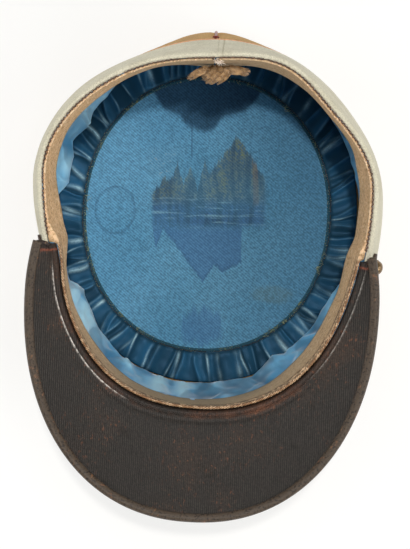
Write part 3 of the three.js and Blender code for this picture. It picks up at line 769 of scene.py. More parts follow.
# Cords in the seams
pipingLook = {
    "around": 720, "radius": 0.75, "sideInset": 0.85, "backInset": 0.25, "twistEvery": 5, "twist": 0.08,
    "base": "e0a074", "shade": "c08050", "speckSize": 700.0,
}
backPipingLook = {
    "radius": 0.9, "lift": 0.2, "steps": 60, "base": "8c2c1c", "shade": "5e1b12", "speckSize": 900.0,
    "twist": 260.0,
}


def roundRow(centre, out, rise, radius, sides):
    spots = []
    for k in range(sides):
        turn = 2 * math.pi * k / sides
        spots.append(centre + out * math.cos(turn) * radius + rise * math.sin(turn) * radius)
    return np.stack(spots, axis=1)


def makePipings():
    look = pipingLook
    around = turns(look["around"])
    inset = lerp(look["sideInset"], look["backInset"], bump(around, 90, 40))
    centre = wallPoints(around, seamHeight(around), inset)
    twisted = np.arange(len(around)) * 2 * math.pi / look["twistEvery"]
    radius = look["radius"] * (1 + look["twist"] * np.sin(twisted))
    sections = roundRow(centre, outward(centre), np.array([0, 0, 1.0]), radius[:, None], 8)
    piece = skinOf("bandPipingCord", sections)
    piece.data.materials.append(threadMaterial("salmonCord", {**look, "twist": 220.0}))
    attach(piece, "root")
    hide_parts("band_piping")

    look = backPipingLook
    z = np.linspace(1.6, seamHeight(np.array(backTurn)) - 2.0, look["steps"])
    centre = wallPoints(np.full(len(z), backTurn), z, -look["lift"])
    sections = roundRow(centre, np.array([0, 1.0, 0]), np.array([1.0, 0, 0]), look["radius"], 10)
    verts = [tuple(p * toMetres) for p in sections.reshape(-1, 3)]
    faces = []
    for i in range(len(z) - 1):
        for k in range(10):
            a, b = i * 10 + k, i * 10 + (k + 1) % 10
            faces.append((a, b, b + 10, a + 10))
    faces.append(tuple(range(9, -1, -1)))
    faces.append(tuple((len(z) - 1) * 10 + k for k in range(10)))
    for lean in (-1, 1):
        low = centre[-1] + np.array([-1.6 * lean, 0.9, -1.6])
        high = centre[-1] + np.array([1.6 * lean, 0.9, 1.4])
        addTube(verts, faces, [low, (low + high) / 2 + np.array([0, 0.4, 0]), high], 0.4, 6)
    piece = pieceFrom("backPipingCord", verts, faces)
    piece.data.materials.append(threadMaterial("darkRedCord", look))
    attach(piece, "root")
    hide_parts("back_piping")


makePipings()

# Sweatband, leaning in from the rim, with its two ends at the back
sweatbandLook = {
    "around": 720, "height": 30, "thickness": 1.2, "topDrop": 0.2, "slit": 0.4, "notch": 3.0,
    "notchAngle": 2.2, "leanDepth": 5, "flange": 2.0, "steps": 26, "wave": 0.45, "edgeWave": 0.4,
    "base": "d8b184", "dark": "83603c", "pale": "f4dfbe", "shadeGrey": "a08e74", "torn": "ead2b0",
    "seam": "4a3222", "crumb": "e8c49c",
}
sweatbandLeans = [
    {"at": 0, "share": 0.9}, {"at": 30, "share": -0.15}, {"at": 60, "share": 0.2},
    {"at": 90, "share": 0.1}, {"at": 120, "share": -0.15}, {"at": 150, "share": 0.2},
    {"at": 178, "share": 0.85}, {"at": 195, "share": 1.3}, {"at": 212, "share": 0.15},
    {"at": 240, "share": 0.7}, {"at": 270, "share": 0.55}, {"at": 300, "share": 1.2},
    {"at": 330, "share": 1},
]


def sweatbandInset(around, down):
    look = sweatbandLook
    pastHorn = 66 - apart(around, 270)
    push = (look["flange"] + kinkAt(around)) * smoothStep(pastHorn, -9, -1)
    lean = look["leanDepth"] * valueBetween(sweatbandLeans, around, "share")
    return capShape["bandThickness"] + gap + push + lean * down


def sweatbandPoints(around, down, extra, drop=0.0):
    look = sweatbandLook
    return rimPoints(
        around, sweatbandInset(around, down) + extra, -look["topDrop"] - down * look["height"] - drop,
    )


def sweatbandMaterial():
    look = sweatbandLook
    material, tree, shader = newMaterial("tanLeather")
    place, cloth = placeCoords(tree)
    grain = useGroup(
        tree, leatherGrain, {"Vector": place, "Grain Size": 750.0, "Wear Size": 90.0, "Wear": 0.55},
    )
    speck = noiseAt(tree, place, 620.0, 5.0, 0.75)
    streaks = stretch(tree, cloth, (90.0, 520.0, 1.0))
    streak = noiseAt(tree, streaks, 1.0, 4.0)
    base = mixColour(
        tree, ramp(tree, grain["Wear Mask"], 0.0, 1.0, 0.0, 0.45), colour(look["base"]),
        colour(look["dark"]),
    )
    base = mixColour(tree, ramp(tree, streak, 0.5, 0.72, 0.0, 0.45), base, colour(look["dark"]))
    base = mixColour(tree, ramp(tree, speck, 0.53, 0.64, 0.0, 0.6), base, colour(look["pale"]))
    base = mixColour(tree, ramp(tree, speck, 0.49, 0.38, 0.0, 0.7), base, colour(look["dark"]))
    # painted shade: the sides of the sweatband that face away from the light are mixed towards a shaded grey
    paintedShade = put(tree, "Attribute", attribute_name="paintedShade")
    base = mixColour(tree, paintedShade.outputs["Fac"], base, colour(look["shadeGrey"]))
    torn = put(tree, "Attribute", attribute_name="torn")
    bits = times(tree, torn.outputs["Fac"], ramp(tree, speck, 0.44, 0.56))
    base = mixColour(tree, bits, base, colour(look["torn"]))
    seam = maskOf(tree, "seam")
    base = mixColour(tree, times(tree, seam, 0.85), base, colour(look["seam"]))
    crumbs = noiseAt(tree, place, 480.0, 2.0)
    crumb = times(tree, maskOf(tree, "crumb"), ramp(tree, crumbs, 0.52, 0.58))
    base = mixColour(tree, crumb, base, colour(look["crumb"]))
    tree.links.new(base, shader.inputs["Base Color"])
    setShader(shader, {"Roughness": 0.8, "Specular IOR Level": 0.25})
    addBump(tree, shader, plus(tree, grain["Height"], speck), 0.6, 0.0004)
    return material


def makeSweatband():
    look = sweatbandLook
    firstEnd = [look["slit"], 1.0, 1.6, look["notchAngle"]]
    lastEnd = [360 - look["notchAngle"], 358.4, 359.0, 360 - look["slit"]]
    degrees = np.concatenate([firstEnd, np.linspace(3, 357, look["around"]), lastEnd])
    around = backTurn + np.radians(degrees)
    share = 1 - smoothStep(apart(around, 90), look["slit"], look["notchAngle"])
    top = (share * look["notch"] / look["height"])[:, None]
    down = lerp(top, 1.0, np.linspace(0, 1, look["steps"])[None, :] ** 1.3)
    spots = sweatbandPoints(around[:, None], down, 0.0)
    wave = look["wave"] * softNoise(spots, 16, 21) * smoothStep(down, 0.05, 0.4) * 1.6
    drop = look["edgeWave"] * softNoise(spots, 9, 22) * smoothStep(down, 0.7, 1.0)
    frayed = 0.5 * softNoise(spots, 1.8, 23) * (1 - smoothStep(down, 0.0, 0.04))
    inner = sweatbandPoints(around[:, None], down, look["thickness"] + wave, drop + frayed)
    outer = sweatbandPoints(around[:, None], down[:, ::3], wave[:, ::3], drop[:, ::3])
    edge = (inner[:, -1:] + outer[:, -1:]) / 2 - np.array([0, 0, 0.25])
    # past the horns a lip fills the wedge that the peak's flange leaves beside the band
    pastHorn = 66 - apart(around, 270)
    filled = 1 - smoothStep(pastHorn, -0.5, -0.05)
    lipInset = lerp(sweatbandInset(around, down[:, 0]), capShape["bandThickness"] + gap, filled)
    fall = share * look["notch"] + look["topDrop"]
    lip = np.stack(
        [rimPoints(around, lipInset, -fall - 1.4), rimPoints(around, lipInset, -fall - 0.05)], axis=1,
    )
    sections = np.concatenate([inner, edge, outer[:, ::-1], lip], axis=1)
    piece = skinOf("sweatbandLeather", sections, closed=False)
    size = sections.shape[1]
    byHorn = filled * (1 - smoothStep(-pastHorn, 8, 22))
    level = np.zeros((len(around), size))
    level[:, :look["steps"]] = 1 - smoothStep(down, 0.01, 0.07)
    sides = np.clip(bump(around, 165, 30) + 0.8 * bump(around, 5, 22) + 0.25, 0, 1)
    storeMask(piece, "torn", level * sides[:, None])
    front = smoothStep(70 - apart(around, 270), 0, 8)[:, None]
    seam, crumb = np.zeros((len(around), size)), np.zeros((len(around), size))
    wander = 0.03 * softNoise(spots, 3.0, 24)
    lowLine = np.exp(-(((down + wander - 0.2) / 0.045) ** 2))
    line = lowLine + 0.75 * np.exp(-(((down + wander - 0.06) / 0.05) ** 2))
    seam[:, :look["steps"]] = np.clip(line, 0, 1) * front
    crumb[:, :look["steps"]] = (1 - smoothStep(down + wander, 0.1, 0.3)) * front
    crumb[:, 0] = np.maximum(crumb[:, 0], byHorn)
    crumb[:, -2:] = byHorn[:, None]
    storeMask(piece, "seam", seam)
    storeMask(piece, "crumb", crumb)
    # painted shade: strongest on the back and the front of the sweatband, which lie in shade
    paintedShades = 0.75 * bump(around, 90, 40) + 0.85 * bump(around, 272, 46) + 0.1 * bump(around, 0, 30)
    paintedShade = np.clip(paintedShades, 0, 1)[:, None] + np.zeros((1, size))
    storeMask(piece, "paintedShade", paintedShade)
    piece.data.materials.append(sweatbandMaterial())
    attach(piece, "root")
    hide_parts("sweatband")


makeSweatband()
print("stage: pipings and sweatband made")

# Side lining: slack satin that hangs in over the gathered ring, deepest where its inset is largest
liningLook = {
    "around": 900, "steps": 40, "inset": 3.3, "thickness": 1.0, "foot": 5.2, "lapAt": 9.0, "lapReach": 22,
    "base": "5ba6d4", "faded": "86c8ec", "aged": "4f8797", "patchSize": 30.0, "ageSize": 24.0,
    "ageShare": 0.5, "pitch": 0.0006, "roughness": 0.38, "gloss": 0.5, "sheen": 0.35, "foldShade": "1f4d6c",
    "foldHighlight": "bde8f6",
}
# painted light and shade on the satin: how brightly it is painted on each side
liningPaintedLight = [
    {"at": 0, "tone": 0.42}, {"at": 30, "tone": 0.4}, {"at": 90, "tone": 0.3}, {"at": 125, "tone": 0.5},
    {"at": 142, "tone": 0.66}, {"at": 165, "tone": 0.68}, {"at": 184, "tone": 0.4},
    {"at": 202, "tone": 0.4}, {"at": 214, "tone": 0.8}, {"at": 232, "tone": 0.74},
    {"at": 243, "tone": 0.6}, {"at": 252, "tone": 0.28}, {"at": 257.5, "tone": 0.72},
    {"at": 261.5, "tone": 0.25}, {"at": 265.5, "tone": 0.72}, {"at": 270, "tone": 0.24},
    {"at": 288, "tone": 0.2}, {"at": 298, "tone": 0.36}, {"at": 312, "tone": 0.3},
    {"at": 330, "tone": 0.42},
]
liningLaps = [
    {"at": 0, "inset": 4.4}, {"at": 12, "inset": 5.7}, {"at": 24, "inset": 6.1}, {"at": 36, "inset": 6.3},
    {"at": 46, "inset": 4.5}, {"at": 90, "inset": 4.4}, {"at": 128, "inset": 4.6},
    {"at": 135, "inset": 7.3}, {"at": 143, "inset": 8.2}, {"at": 150, "inset": 11.3},
    {"at": 157.5, "inset": 7.6}, {"at": 163, "inset": 11.6}, {"at": 174, "inset": 12.1},
    {"at": 177, "inset": 9.0}, {"at": 181, "inset": 4.6}, {"at": 202, "inset": 4.6},
    {"at": 206, "inset": 6.8}, {"at": 211, "inset": 6.2}, {"at": 216, "inset": 12.2},
    {"at": 223, "inset": 10.8}, {"at": 230, "inset": 8.5}, {"at": 237, "inset": 8.1},
    {"at": 244, "inset": 5.8}, {"at": 252, "inset": 6.6}, {"at": 261, "inset": 5.9},
    {"at": 272, "inset": 6.6}, {"at": 280, "inset": 7.2}, {"at": 288, "inset": 5.7},
    {"at": 293, "inset": 9.6}, {"at": 297, "inset": 12.2}, {"at": 301, "inset": 9.2},
    {"at": 312, "inset": 9.4}, {"at": 319, "inset": 10.2}, {"at": 326, "inset": 10.6},
    {"at": 332, "inset": 8.8}, {"at": 338, "inset": 4.6},
]
# pleats that catch the light: where, how wide and how deep
liningPleats = [
    {"at": 137, "spread": 2.2, "push": 1.2}, {"at": 147, "spread": 2.6, "push": 1.5},
    {"at": 160, "spread": 2.4, "push": -1.4}, {"at": 168, "spread": 3.0, "push": 1.0},
    {"at": 214, "spread": 1.8, "push": 1.2}, {"at": 219, "spread": 2.0, "push": -1.4},
    {"at": 227, "spread": 2.2, "push": 1.2}, {"at": 239, "spread": 2.6, "push": -1.5},
    {"at": 247, "spread": 2.2, "push": 1.2}, {"at": 258, "spread": 2.4, "push": 2.2},
    {"at": 265.5, "spread": 2.4, "push": 2.0}, {"at": 276, "spread": 2.2, "push": 0.9},
    {"at": 289, "spread": 1.6, "push": -1.2}, {"at": 304, "spread": 2.4, "push": 1.3},
    {"at": 315, "spread": 2.0, "push": -1.2}, {"at": 322, "spread": 2.2, "push": 1.2},
    {"at": 18, "spread": 2.4, "push": 1.0}, {"at": 30, "spread": 2.0, "push": -0.8},
]


def liningMaterial():
    look = liningLook
    material = satinMaterial("lightBlueSatin", look)
    tree = material.node_tree
    shader = next(n for n in tree.nodes if n.type == "BSDF_PRINCIPLED")
    base = shader.inputs["Base Color"].links[0].from_socket
    # painted light and shade: darker in shaded creases and sides, lighter where the light falls
    paintedFoldLight = maskOf(tree, "paintedFoldLight")
    toned = mixColour(tree, ramp(tree, paintedFoldLight, 0.45, 0.1, 0.0, 0.75), base, colour(look["foldShade"]))
    toned = mixColour(tree, ramp(tree, paintedFoldLight, 0.5, 0.95, 0.0, 0.85), toned, colour(look["foldHighlight"]))
    place, cloth = placeCoords(tree)
    bent = put(tree, "TexNoise", {"Vector": place, "Scale": 45.0, "Detail": 2.0}).outputs[1]
    shift = stretch(tree, bent, (0.012, 0.012, 0.012))
    moved = put(tree, "VectorMath", {0: place, 1: shift}, operation="ADD").outputs[0]
    tall = stretch(tree, moved, (1.0, 1.0, 0.45))
    # facets of the crumpled satin, each painted lighter or darker as if it caught the light differently
    facets = put(
        tree, "TexVoronoi", {"Vector": tall, "Scale": 95.0, "Smoothness": 0.6}, feature="SMOOTH_F1",
    )
    facet = put(tree, "SeparateColor", {0: facets.outputs["Color"]}).outputs[0]
    toned = mixColour(tree, ramp(tree, facet, 0.5, 0.2, 0.0, 0.4), toned, colour(look["foldShade"]))
    lit = times(tree, ramp(tree, facet, 0.5, 0.8, 0.0, 0.5), ramp(tree, paintedFoldLight, 0.2, 0.6))
    toned = mixColour(tree, lit, toned, colour(look["foldHighlight"]))
    tree.links.new(toned, shader.inputs["Base Color"])
    height = plus(tree, facets.outputs[0], times(tree, paintedFoldLight, 0.3))
    addBump(tree, shader, height, 0.6, 0.0035)
    return material


def lapPush(around, z):
    look = liningLook
    face = look["inset"] + look["thickness"]
    lap = valueBetween(liningLaps, around, "inset", eased=False) - face
    over = np.where(z > look["lapAt"], np.exp(-((np.abs(z - look["lapAt"]) / look["lapReach"]) ** 1.4)),
                    smoothStep(z, look["foot"] - 1.4, look["lapAt"]))
    return lap * over


def makeSideLining():
    look = liningLook
    around = turns(look["around"])[:, None]
    top = rimHeight(around) - 16.5
    shares = np.linspace(0, 1, look["steps"])[None, :] ** 1.6
    z = lerp(look["foot"], top, shares)
    rng = random.Random(41)
    creases = 0
    for row in liningPleats:
        line = bump(around, row["at"] + 5 * (shares - 0.2), row["spread"])
        creases = creases + row["push"] * line * smoothStep(z, look["foot"], 15)
    for i in range(90):
        at = rng.uniform(0, 360)
        slant = rng.uniform(-22, 22)
        size = rng.uniform(0.3, 1.1)
        spread = rng.uniform(0.6, 1.8)
        level = rng.uniform(0.05, 0.6)
        reach = rng.uniform(0.1, 0.3)
        line = np.exp(-((apart(around, at + slant * (shares - level)) / spread) ** 2))
        creases = creases + size * line * np.exp(-(((shares - level) / reach) ** 2))
    creases = creases * smoothStep(z, look["foot"], look["lapAt"] + 3)
    crumple = 0.5 * softNoise(wallPoints(around, z, 0), 7, 43)
    crumple = crumple * smoothStep(z, look["foot"], look["lapAt"])
    inset = look["inset"] + look["thickness"] + lapPush(around, z) + np.maximum(creases, -3) + crumple
    inner = wallPoints(around, z, inset)
    outer = wallPoints(around, z[:, ::3], look["inset"])
    piece = skinOf("sideLiningSatin", np.concatenate([inner, outer[:, ::-1]], axis=1))
    # painted light: a brightness per side, changed over the creases and crumples
    tone = valueBetween(liningPaintedLight, around, "tone")
    paintedFoldLight = np.clip(tone + 0.14 * creases + 0.2 * crumple, 0, 1)
    storeMask(piece, "paintedFoldLight", np.concatenate([paintedFoldLight, np.full((len(around), outer.shape[1]), 0.5)], axis=1))
    piece.data.materials.append(liningMaterial())
    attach(piece, "root")
    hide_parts("side_lining")
    return piece


sideLining = makeSideLining()

# Gathered ring: fine sharp gathers drawn up between the crown lining and the wall
# the valley, middle and crest colours are painted valley shade, a painted lit flank and a painted crest
# highlight
ringLook = {
    "around": 1500, "steps": 26, "panelHalfWidth": 72, "panelHalfLength": 80, "panelFullness": 2.1,
    "hem": 2.0, "hemShare": 0.1, "ridge": 3.0, "ridgeWidth": 1.4, "crestWidth": 0.7, "floor": 4.2,
    "outerInset": 4.5, "valleyShade": "14303f", "middle": "336f96", "crest": "aecfd6", "hemTone": "2c4c58",
    "hemOlive": "7b7c4d",
}


# painted light around the ring: how strongly the painted crest highlights and lit flanks show on each side,
# weakest at the shaded back
ringPaintedLight = [
    {"at": 0, "tone": 0.62}, {"at": 35, "tone": 0.6}, {"at": 70, "tone": 0.4}, {"at": 100, "tone": 0.4},
    {"at": 125, "tone": 0.6}, {"at": 150, "tone": 0.85}, {"at": 185, "tone": 0.9},
    {"at": 215, "tone": 1.0}, {"at": 240, "tone": 0.9}, {"at": 270, "tone": 0.75},
    {"at": 300, "tone": 0.8}, {"at": 330, "tone": 0.7},
]


def panelPoints(around, outset):
    look = ringLook
    halfWidth = look["panelHalfWidth"] + outset
    halfLength = look["panelHalfLength"] + outset
    full = look["panelFullness"]
    reach = ovalReach(around, halfWidth, halfLength, halfLength, 0, full, full)
    return np.stack([reach * np.cos(around), reach * np.sin(around), np.zeros_like(reach)], axis=-1)


def ringMaterial():
    look = ringLook
    material, tree, shader = newMaterial("darkBlueSatin")
    place, cloth = placeCoords(tree)
    weave = useGroup(
        tree, threadWeave, {"Vector": cloth, "Pitch": 0.0006, "Turn": 0.0, "Cross": 0.2, "Wobble": 0.1},
    )
    crest = put(tree, "Attribute", attribute_name="crest").outputs["Fac"]
    litFlank = put(tree, "Attribute", attribute_name="litFlank").outputs["Fac"]
    hem = put(tree, "Attribute", attribute_name="hem").outputs["Fac"]
    patch = noiseAt(tree, place, 60.0, 3.0)
    speck = noiseAt(tree, place, 900.0, 4.0)
    # painted light and shade: the lit flank of each gather is painted mid blue, the rest dark valley shade,
    # and the crest is a painted highlight
    tone = mixColour(tree, litFlank, colour(look["valleyShade"]), colour(look["middle"]))
    tone = mixColour(tree, ramp(tree, patch, 0.42, 0.7, 0.0, 0.5), tone, colour(look["valleyShade"]))
    broken = times(tree, crest, ramp(tree, speck, 0.3, 0.55, 0.55, 1.0))
    tone = mixColour(tree, broken, tone, colour(look["crest"]))
    olive = times(tree, ramp(tree, speck, 0.46, 0.62), ramp(tree, patch, 0.5, 0.62))
    hemTone = mixColour(tree, olive, colour(look["hemTone"]), colour(look["hemOlive"]))
    tone = mixColour(tree, hem, tone, hemTone)
    tree.links.new(tone, shader.inputs["Base Color"])
    tree.links.new(ramp(tree, hem, 0.0, 1.0, 0.42, 0.9), shader.inputs["Roughness"])
    setShader(shader, {
        "Specular IOR Level": 0.4, "Specular Tint": colour("7fb4e6"), "Sheen Weight": 0.08,
        "Sheen Roughness": 0.35, "Sheen Tint": colour("7fb4e6"),
    })
    addBump(tree, shader, weave["Height"], 0.2, 0.00015)
    return material


def makeGatheredRing():
    look = ringLook
    around = turns(look["around"])
    inner = panelPoints(around, -look["hem"])[:, None, :]
    outerEdge = wallPoints(around, 0.0, look["outerInset"])[:, None, :]
    out = np.linspace(0, 1, look["steps"])[None, :]
    spots = lerp(inner, outerEdge, out[..., None])
    degrees = np.degrees(around)[:, None]
    perDegree = np.linalg.norm(spots, axis=-1) * math.pi / 180
    rng = random.Random(7)
    height = np.zeros(out.shape) + np.zeros(degrees.shape)
    crest, litFlank = height.copy(), height.copy()
    at = 0.0
    while at < 358:
        slant = rng.uniform(-2.6, 2.6)
        bend = rng.uniform(-0.8, 0.8)
        size = rng.uniform(0.45, 1.1)
        width = look["ridgeWidth"] * rng.uniform(0.6, 1.7)
        shine = rng.choice((0.1, 0.3, 0.5, 0.75, 1.0))
        line = look["crestWidth"] * rng.uniform(0.5, 1.9)
        start = rng.uniform(0.0, 0.12)
        end = rng.uniform(0.85, 1.4)
        centre = at + slant * (out - 0.5) + bend * np.sin(out * math.pi * 1.5)
        far = ((degrees - centre + 540) % 360 - 180) * perDegree
        rise = smoothStep(out, look["hemShare"], look["hemShare"] + 0.1 + start)
        fall = rise * (1 - 0.6 * smoothStep(out, end - 0.3, end))
        height = np.maximum(height, look["ridge"] * size * np.exp(-np.abs(far) / width) * fall)
        # the painted highlight along each crest, and the painted lit flank on one side of it
        faint = 0.6 + 0.4 * np.sin(out * rng.uniform(4, 9) + rng.uniform(0, 6))
        crest = np.maximum(crest, shine * faint * np.exp(-((far / line) ** 2)) * fall)
        turned = far * rng.choice((-1, 1, 1))
        side = np.where(
            turned < 0, np.exp(-np.abs(far) / (width * 2.2)), np.exp(-((far / (width * 0.5)) ** 2)),
        )
        litFlank = np.maximum(litFlank, rng.uniform(0.3, 1.0) * side * fall)
        at += rng.uniform(1.3, 2.6) if rng.random() < 0.4 else rng.uniform(3.2, 7.2)
    lightShares = valueBetween(ringPaintedLight, around, "tone")[:, None]
    crest, litFlank = crest * lightShares, litFlank * (0.35 + 0.65 * lightShares)
    hemDip = 0.5 * np.exp(-(((out - look["hemShare"]) / 0.03) ** 2))
    rumple = 0.3 * softNoise(spots, 5, 31)
    flat = 0.5 * (1 - smoothStep(out, 0.0, 0.04))
    tuck = 1 - 0.9 * smoothStep(out, 0.9, 0.98)
    swell = (height + rumple * smoothStep(out, 0.02, 0.2)) * tuck
    spots[..., 2] = look["floor"] + 0.55 + swell - hemDip - flat
    lower = spots[:, ::3].copy()
    lower[..., 2] = look["floor"] - 0.1
    sections = np.concatenate([spots, lower[:, ::-1]], axis=1)
    piece = skinOf("gatheredRingSatin", sections)
    pad = np.zeros((len(around), lower.shape[1]))
    storeMask(piece, "crest", np.concatenate([crest, pad], axis=1))
    storeMask(piece, "litFlank", np.concatenate([litFlank, pad], axis=1))
    hem = 1 - smoothStep(out, look["hemShare"] - 0.05, look["hemShare"]) + np.zeros(degrees.shape)
    storeMask(piece, "hem", np.concatenate([hem, pad], axis=1))
    piece.data.materials.append(ringMaterial())
    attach(piece, "root")
    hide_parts("gathered_ring")
    return piece


gatheredRing = makeGatheredRing()

# Crown lining, with old water stains and a painted shadow at the back
twillLook = {
    "around": 240, "rings": 60, "floor": 2.8, "thickness": 1.0, "ripple": 0.35,
    "base": "568eae", "line": "386685", "faded": "659cbb", "paintedShade": "487590", "pitch": 0.00135,
    "stain": "3b6089", "stainDark": "2b4863", "olive": "66704f", "brown": "6f5a3c", "pale": "8db8c8",
    "paintedShadow": "7c8691", "stainLow": "35588c", "dust": "8a7c58",
}
# outlines of the stain in millimetres: tips of its upper and lower tongues, and how steep each side is
stainTops = [
    {"at": (-31.0, 12.9), "left": 12.0, "right": 0.02}, {"at": (-23.7, 23.4), "left": 1.4, "right": 1.2},
    {"at": (-17.0, 30.4), "left": 2.4, "right": 3.2}, {"at": (-9.7, 28.6), "left": 2.6, "right": 2.8},
    {"at": (-1.0, 33.0), "left": 4.0, "right": 4.2}, {"at": (8.5, 25.0), "left": 2.0, "right": 1.0},
    {"at": (17.6, 46.1), "left": 1.35, "right": 1.5},
]
stainFeet = [
    {"at": (-2.2, -40.5), "left": 1.38, "right": 1.6}, {"at": (8.9, -34.5), "left": 1.0, "right": 0.5},
    {"at": (-29.5, -20.8), "left": 6.0, "right": 3.0},
]


# lower edge of the painted shadow that the back rim and the tuft cast at the back: along and up, in
# millimetres
paintedShadowEdge = [
    (-40.0, 90.0), (-28.3, 66.5), (-24.3, 60.6), (-15.5, 57.0), (-11.6, 51.5), (-1.0, 47.6), (4.1, 49.4),
    (8.9, 56.0), (22.3, 59.5), (29.8, 67.6), (40.0, 90.0),
]


def curveOf(tree, value, points):
    low, high = points[0][0], points[-1][0]
    share = put(tree, "MapRange", {0: value, 1: low, 2: high}).outputs[0]
    node = put(tree, "FloatCurve", {"Value": share})
    curve = node.mapping.curves[0]
    curve.points[0].location = (0.0, points[0][1] / 100)
    curve.points[1].location = (1.0, points[-1][1] / 100)
    for at, level in points[1:-1]:
        curve.points.new((at - low) / (high - low), level / 100)
    for point in curve.points:
        point.handle_type = "VECTOR"
    node.mapping.update()
    return times(tree, node.outputs[0], 100.0)


def makeStainTongue():
    tree, entry, leave = newGroup("stainTongue", [
        ("Vector", "Vector", None), ("Tip X", "Float", 0.0), ("Tip Y", "Float", 0.0),
        ("Left", "Float", 1.0), ("Right", "Float", 1.0),
    ], [("Reach", "Float")])
    across = put(tree, "SeparateXYZ", {0: entry["Vector"]}).outputs["X"]
    past = minus(tree, across, entry["Tip X"])
    before = times(tree, times(tree, past, -1.0), entry["Left"])
    after = times(tree, past, entry["Right"])
    fall = calc(tree, "MAXIMUM", before, after)
    tree.links.new(minus(tree, entry["Tip Y"], fall), leave["Reach"])
    return tree


stainTongue = makeStainTongue()


def tonguesReach(tree, spots, rows, flip):
    reach = None
    for row in rows:
        tip = useGroup(tree, stainTongue, {
            "Vector": spots, "Tip X": float(row["at"][0]), "Tip Y": float(row["at"][1] * flip),
            "Left": float(row["left"]), "Right": float(row["right"]),
        })["Reach"]
        reach = tip if reach is None else calc(tree, "MAXIMUM", reach, tip)
    return reach


# where the main stain lies, in millimetres across and up; each pair is a fade's start and end
stainLook = {
    "left": (-33.0, -30.4), "right": (35.0, 32.0), "top": (-0.6, 2.6), "foot": (0.0, 1.6),
    "shelf": -7.0, "shelfFade": (-3.2, 3.2), "lowLeft": (-32.0, -31.0), "lowRight": (21.0, 20.0),
    "rim": (3.6, 1.2), "jitter": 14.0, "drift": 5.0, "oliveRise": (3.0, 12.0),
    "brownAt": 28.0, "brownFade": (2.2, 1.0), "brownRise": (3.0, 8.0), "paleAt": 1.0, "paleFade": (13.0, 5.0),
    "dustLeft": (-36.0, -30.0), "dustRight": (-8.0, -14.0), "dustFoot": (20.0, 26.0), "dustTop": (42.0, 36.0),
    "hairlineAt": -8.6, "hairlineFoot": (31.0, 34.0), "hairlineTop": (52.0, 48.0), "paintedShadowFade": (-2.6, 2.6),
}
stainMarks = [
    {
        "centre": (0.040, -0.045, 0), "size": (0.016, 0.007, 1), "streak": (60.0, 90.0, 1.0),
        "ragged": 0.6, "edge": 0.5, "part": "Mask", "share": 0.2, "tone": "olive",
    },
    {
        "centre": (0.0, -0.066, 0), "size": (0.013, 0.014, 1), "streak": (130.0, 20.0, 1.0),
        "ragged": 1.0, "edge": 0.3, "part": "Mask", "share": 0.4, "tone": "stainLow",
    },
    {
        "centre": (-0.053, -0.0004, 0), "size": (0.0125, 0.0145, 1), "streak": (40.0, 40.0, 1.0),
        "ragged": 0.15, "edge": 0.07, "part": "Rim", "share": 0.4, "tone": "stainDark",
    },
]


def between(tree, value, low, high):
    return times(tree, ramp(tree, value, *low), ramp(tree, value, *high))


def nearTo(tree, value, middle, *fade):
    return ramp(tree, calc(tree, "ABSOLUTE", minus(tree, value, middle)), *fade)


def cleanTwill(tree, place, weave, broad, grit):
    look = twillLook
    tone = mixColour(tree, ramp(tree, broad, 0.35, 0.65), colour(look["base"]), colour(look["faded"]))
    # painted shade: the right side of the lining, shaded by the right wall, is mixed towards a darker blue
    side = put(tree, "SeparateXYZ", {0: place}).outputs["X"]
    tone = mixColour(tree, ramp(tree, side, -0.01, 0.06, 0.0, 0.75), tone, colour(look["paintedShade"]))
    lined = mixColour(tree, ramp(tree, weave["Shade"], 0.15, 0.95, 0.5, 0.0), tone, colour(look["line"]))
    return mixColour(tree, 1.0, lined, ramp(tree, grit, 0.36, 0.64, 0.78, 1.24), "MULTIPLY")


# Masks of the dark upper part, the pale lower part and the lower part's rim
def stainMasks(tree, spots, moved, up, jitter):
    stain = stainLook
    top = plus(tree, tonguesReach(tree, spots, stainTops, 1), jitter)
    foot = minus(
        tree, times(tree, tonguesReach(tree, spots, stainFeet, -1), -1.0), times(tree, jitter, 0.4),
    )
    inside = between(tree, moved, stain["left"], stain["right"])
    toTop = minus(tree, top, up)
    toFoot = minus(tree, up, foot)
    shelf = plus(tree, times(tree, jitter, 0.3), stain["shelf"])
    above = ramp(tree, minus(tree, up, shelf), *stain["shelfFade"])
    blot = times(tree, times(tree, ramp(tree, toTop, *stain["top"]), above), inside)
    low = times(tree, minus(tree, 1.0, above), ramp(tree, toFoot, *stain["foot"]))
    low = times(tree, low, between(tree, moved, stain["lowLeft"], stain["lowRight"]))
    return blot, low, times(tree, low, ramp(tree, toFoot, *stain["rim"]))


# Colour inside the dark part: dark bars, olive and brown patches, pale streaks and the weave
def stainTone(tree, spots, moved, up, weave, grit):
    look = twillLook
    stain = stainLook
    streaks = stretch(tree, spots, (0.03, 0.42, 0.0))
    streak = noiseAt(tree, streaks, 1.0, 4.0, 0.6)
    bars = stretch(tree, spots, (0.22, 0.03, 0.0))
    bar = noiseAt(tree, bars, 1.0, 3.0)
    tone = mixColour(tree, ramp(tree, bar, 0.42, 0.6), colour(look["stain"]), colour(look["stainDark"]))
    olive = times(tree, ramp(tree, up, *stain["oliveRise"]), ramp(tree, grit, 0.35, 0.6, 0.15, 0.9))
    olive = times(tree, olive, ramp(tree, bar, 0.62, 0.4, 0.25, 1.0))
    tone = mixColour(tree, olive, tone, colour(look["olive"]))
    brown = times(tree, nearTo(tree, moved, stain["brownAt"], *stain["brownFade"]), 0.6)
    brown = times(tree, brown, ramp(tree, up, *stain["brownRise"]))
    tone = mixColour(tree, brown, tone, colour(look["brown"]))
    pale = ramp(tree, streak, 0.5, 0.64)
    pale = times(tree, pale, nearTo(tree, up, stain["paleAt"], *stain["paleFade"]))
    tone = mixColour(tree, times(tree, pale, 0.55), tone, colour(look["pale"]))
    weft = ramp(tree, weave["Shade"], 0.0, 1.0, 0.86, 1.06)
    weft = times(tree, weft, ramp(tree, grit, 0.3, 0.7, 0.8, 1.2))
    return mixColour(tree, 1.0, tone, weft, "MULTIPLY")


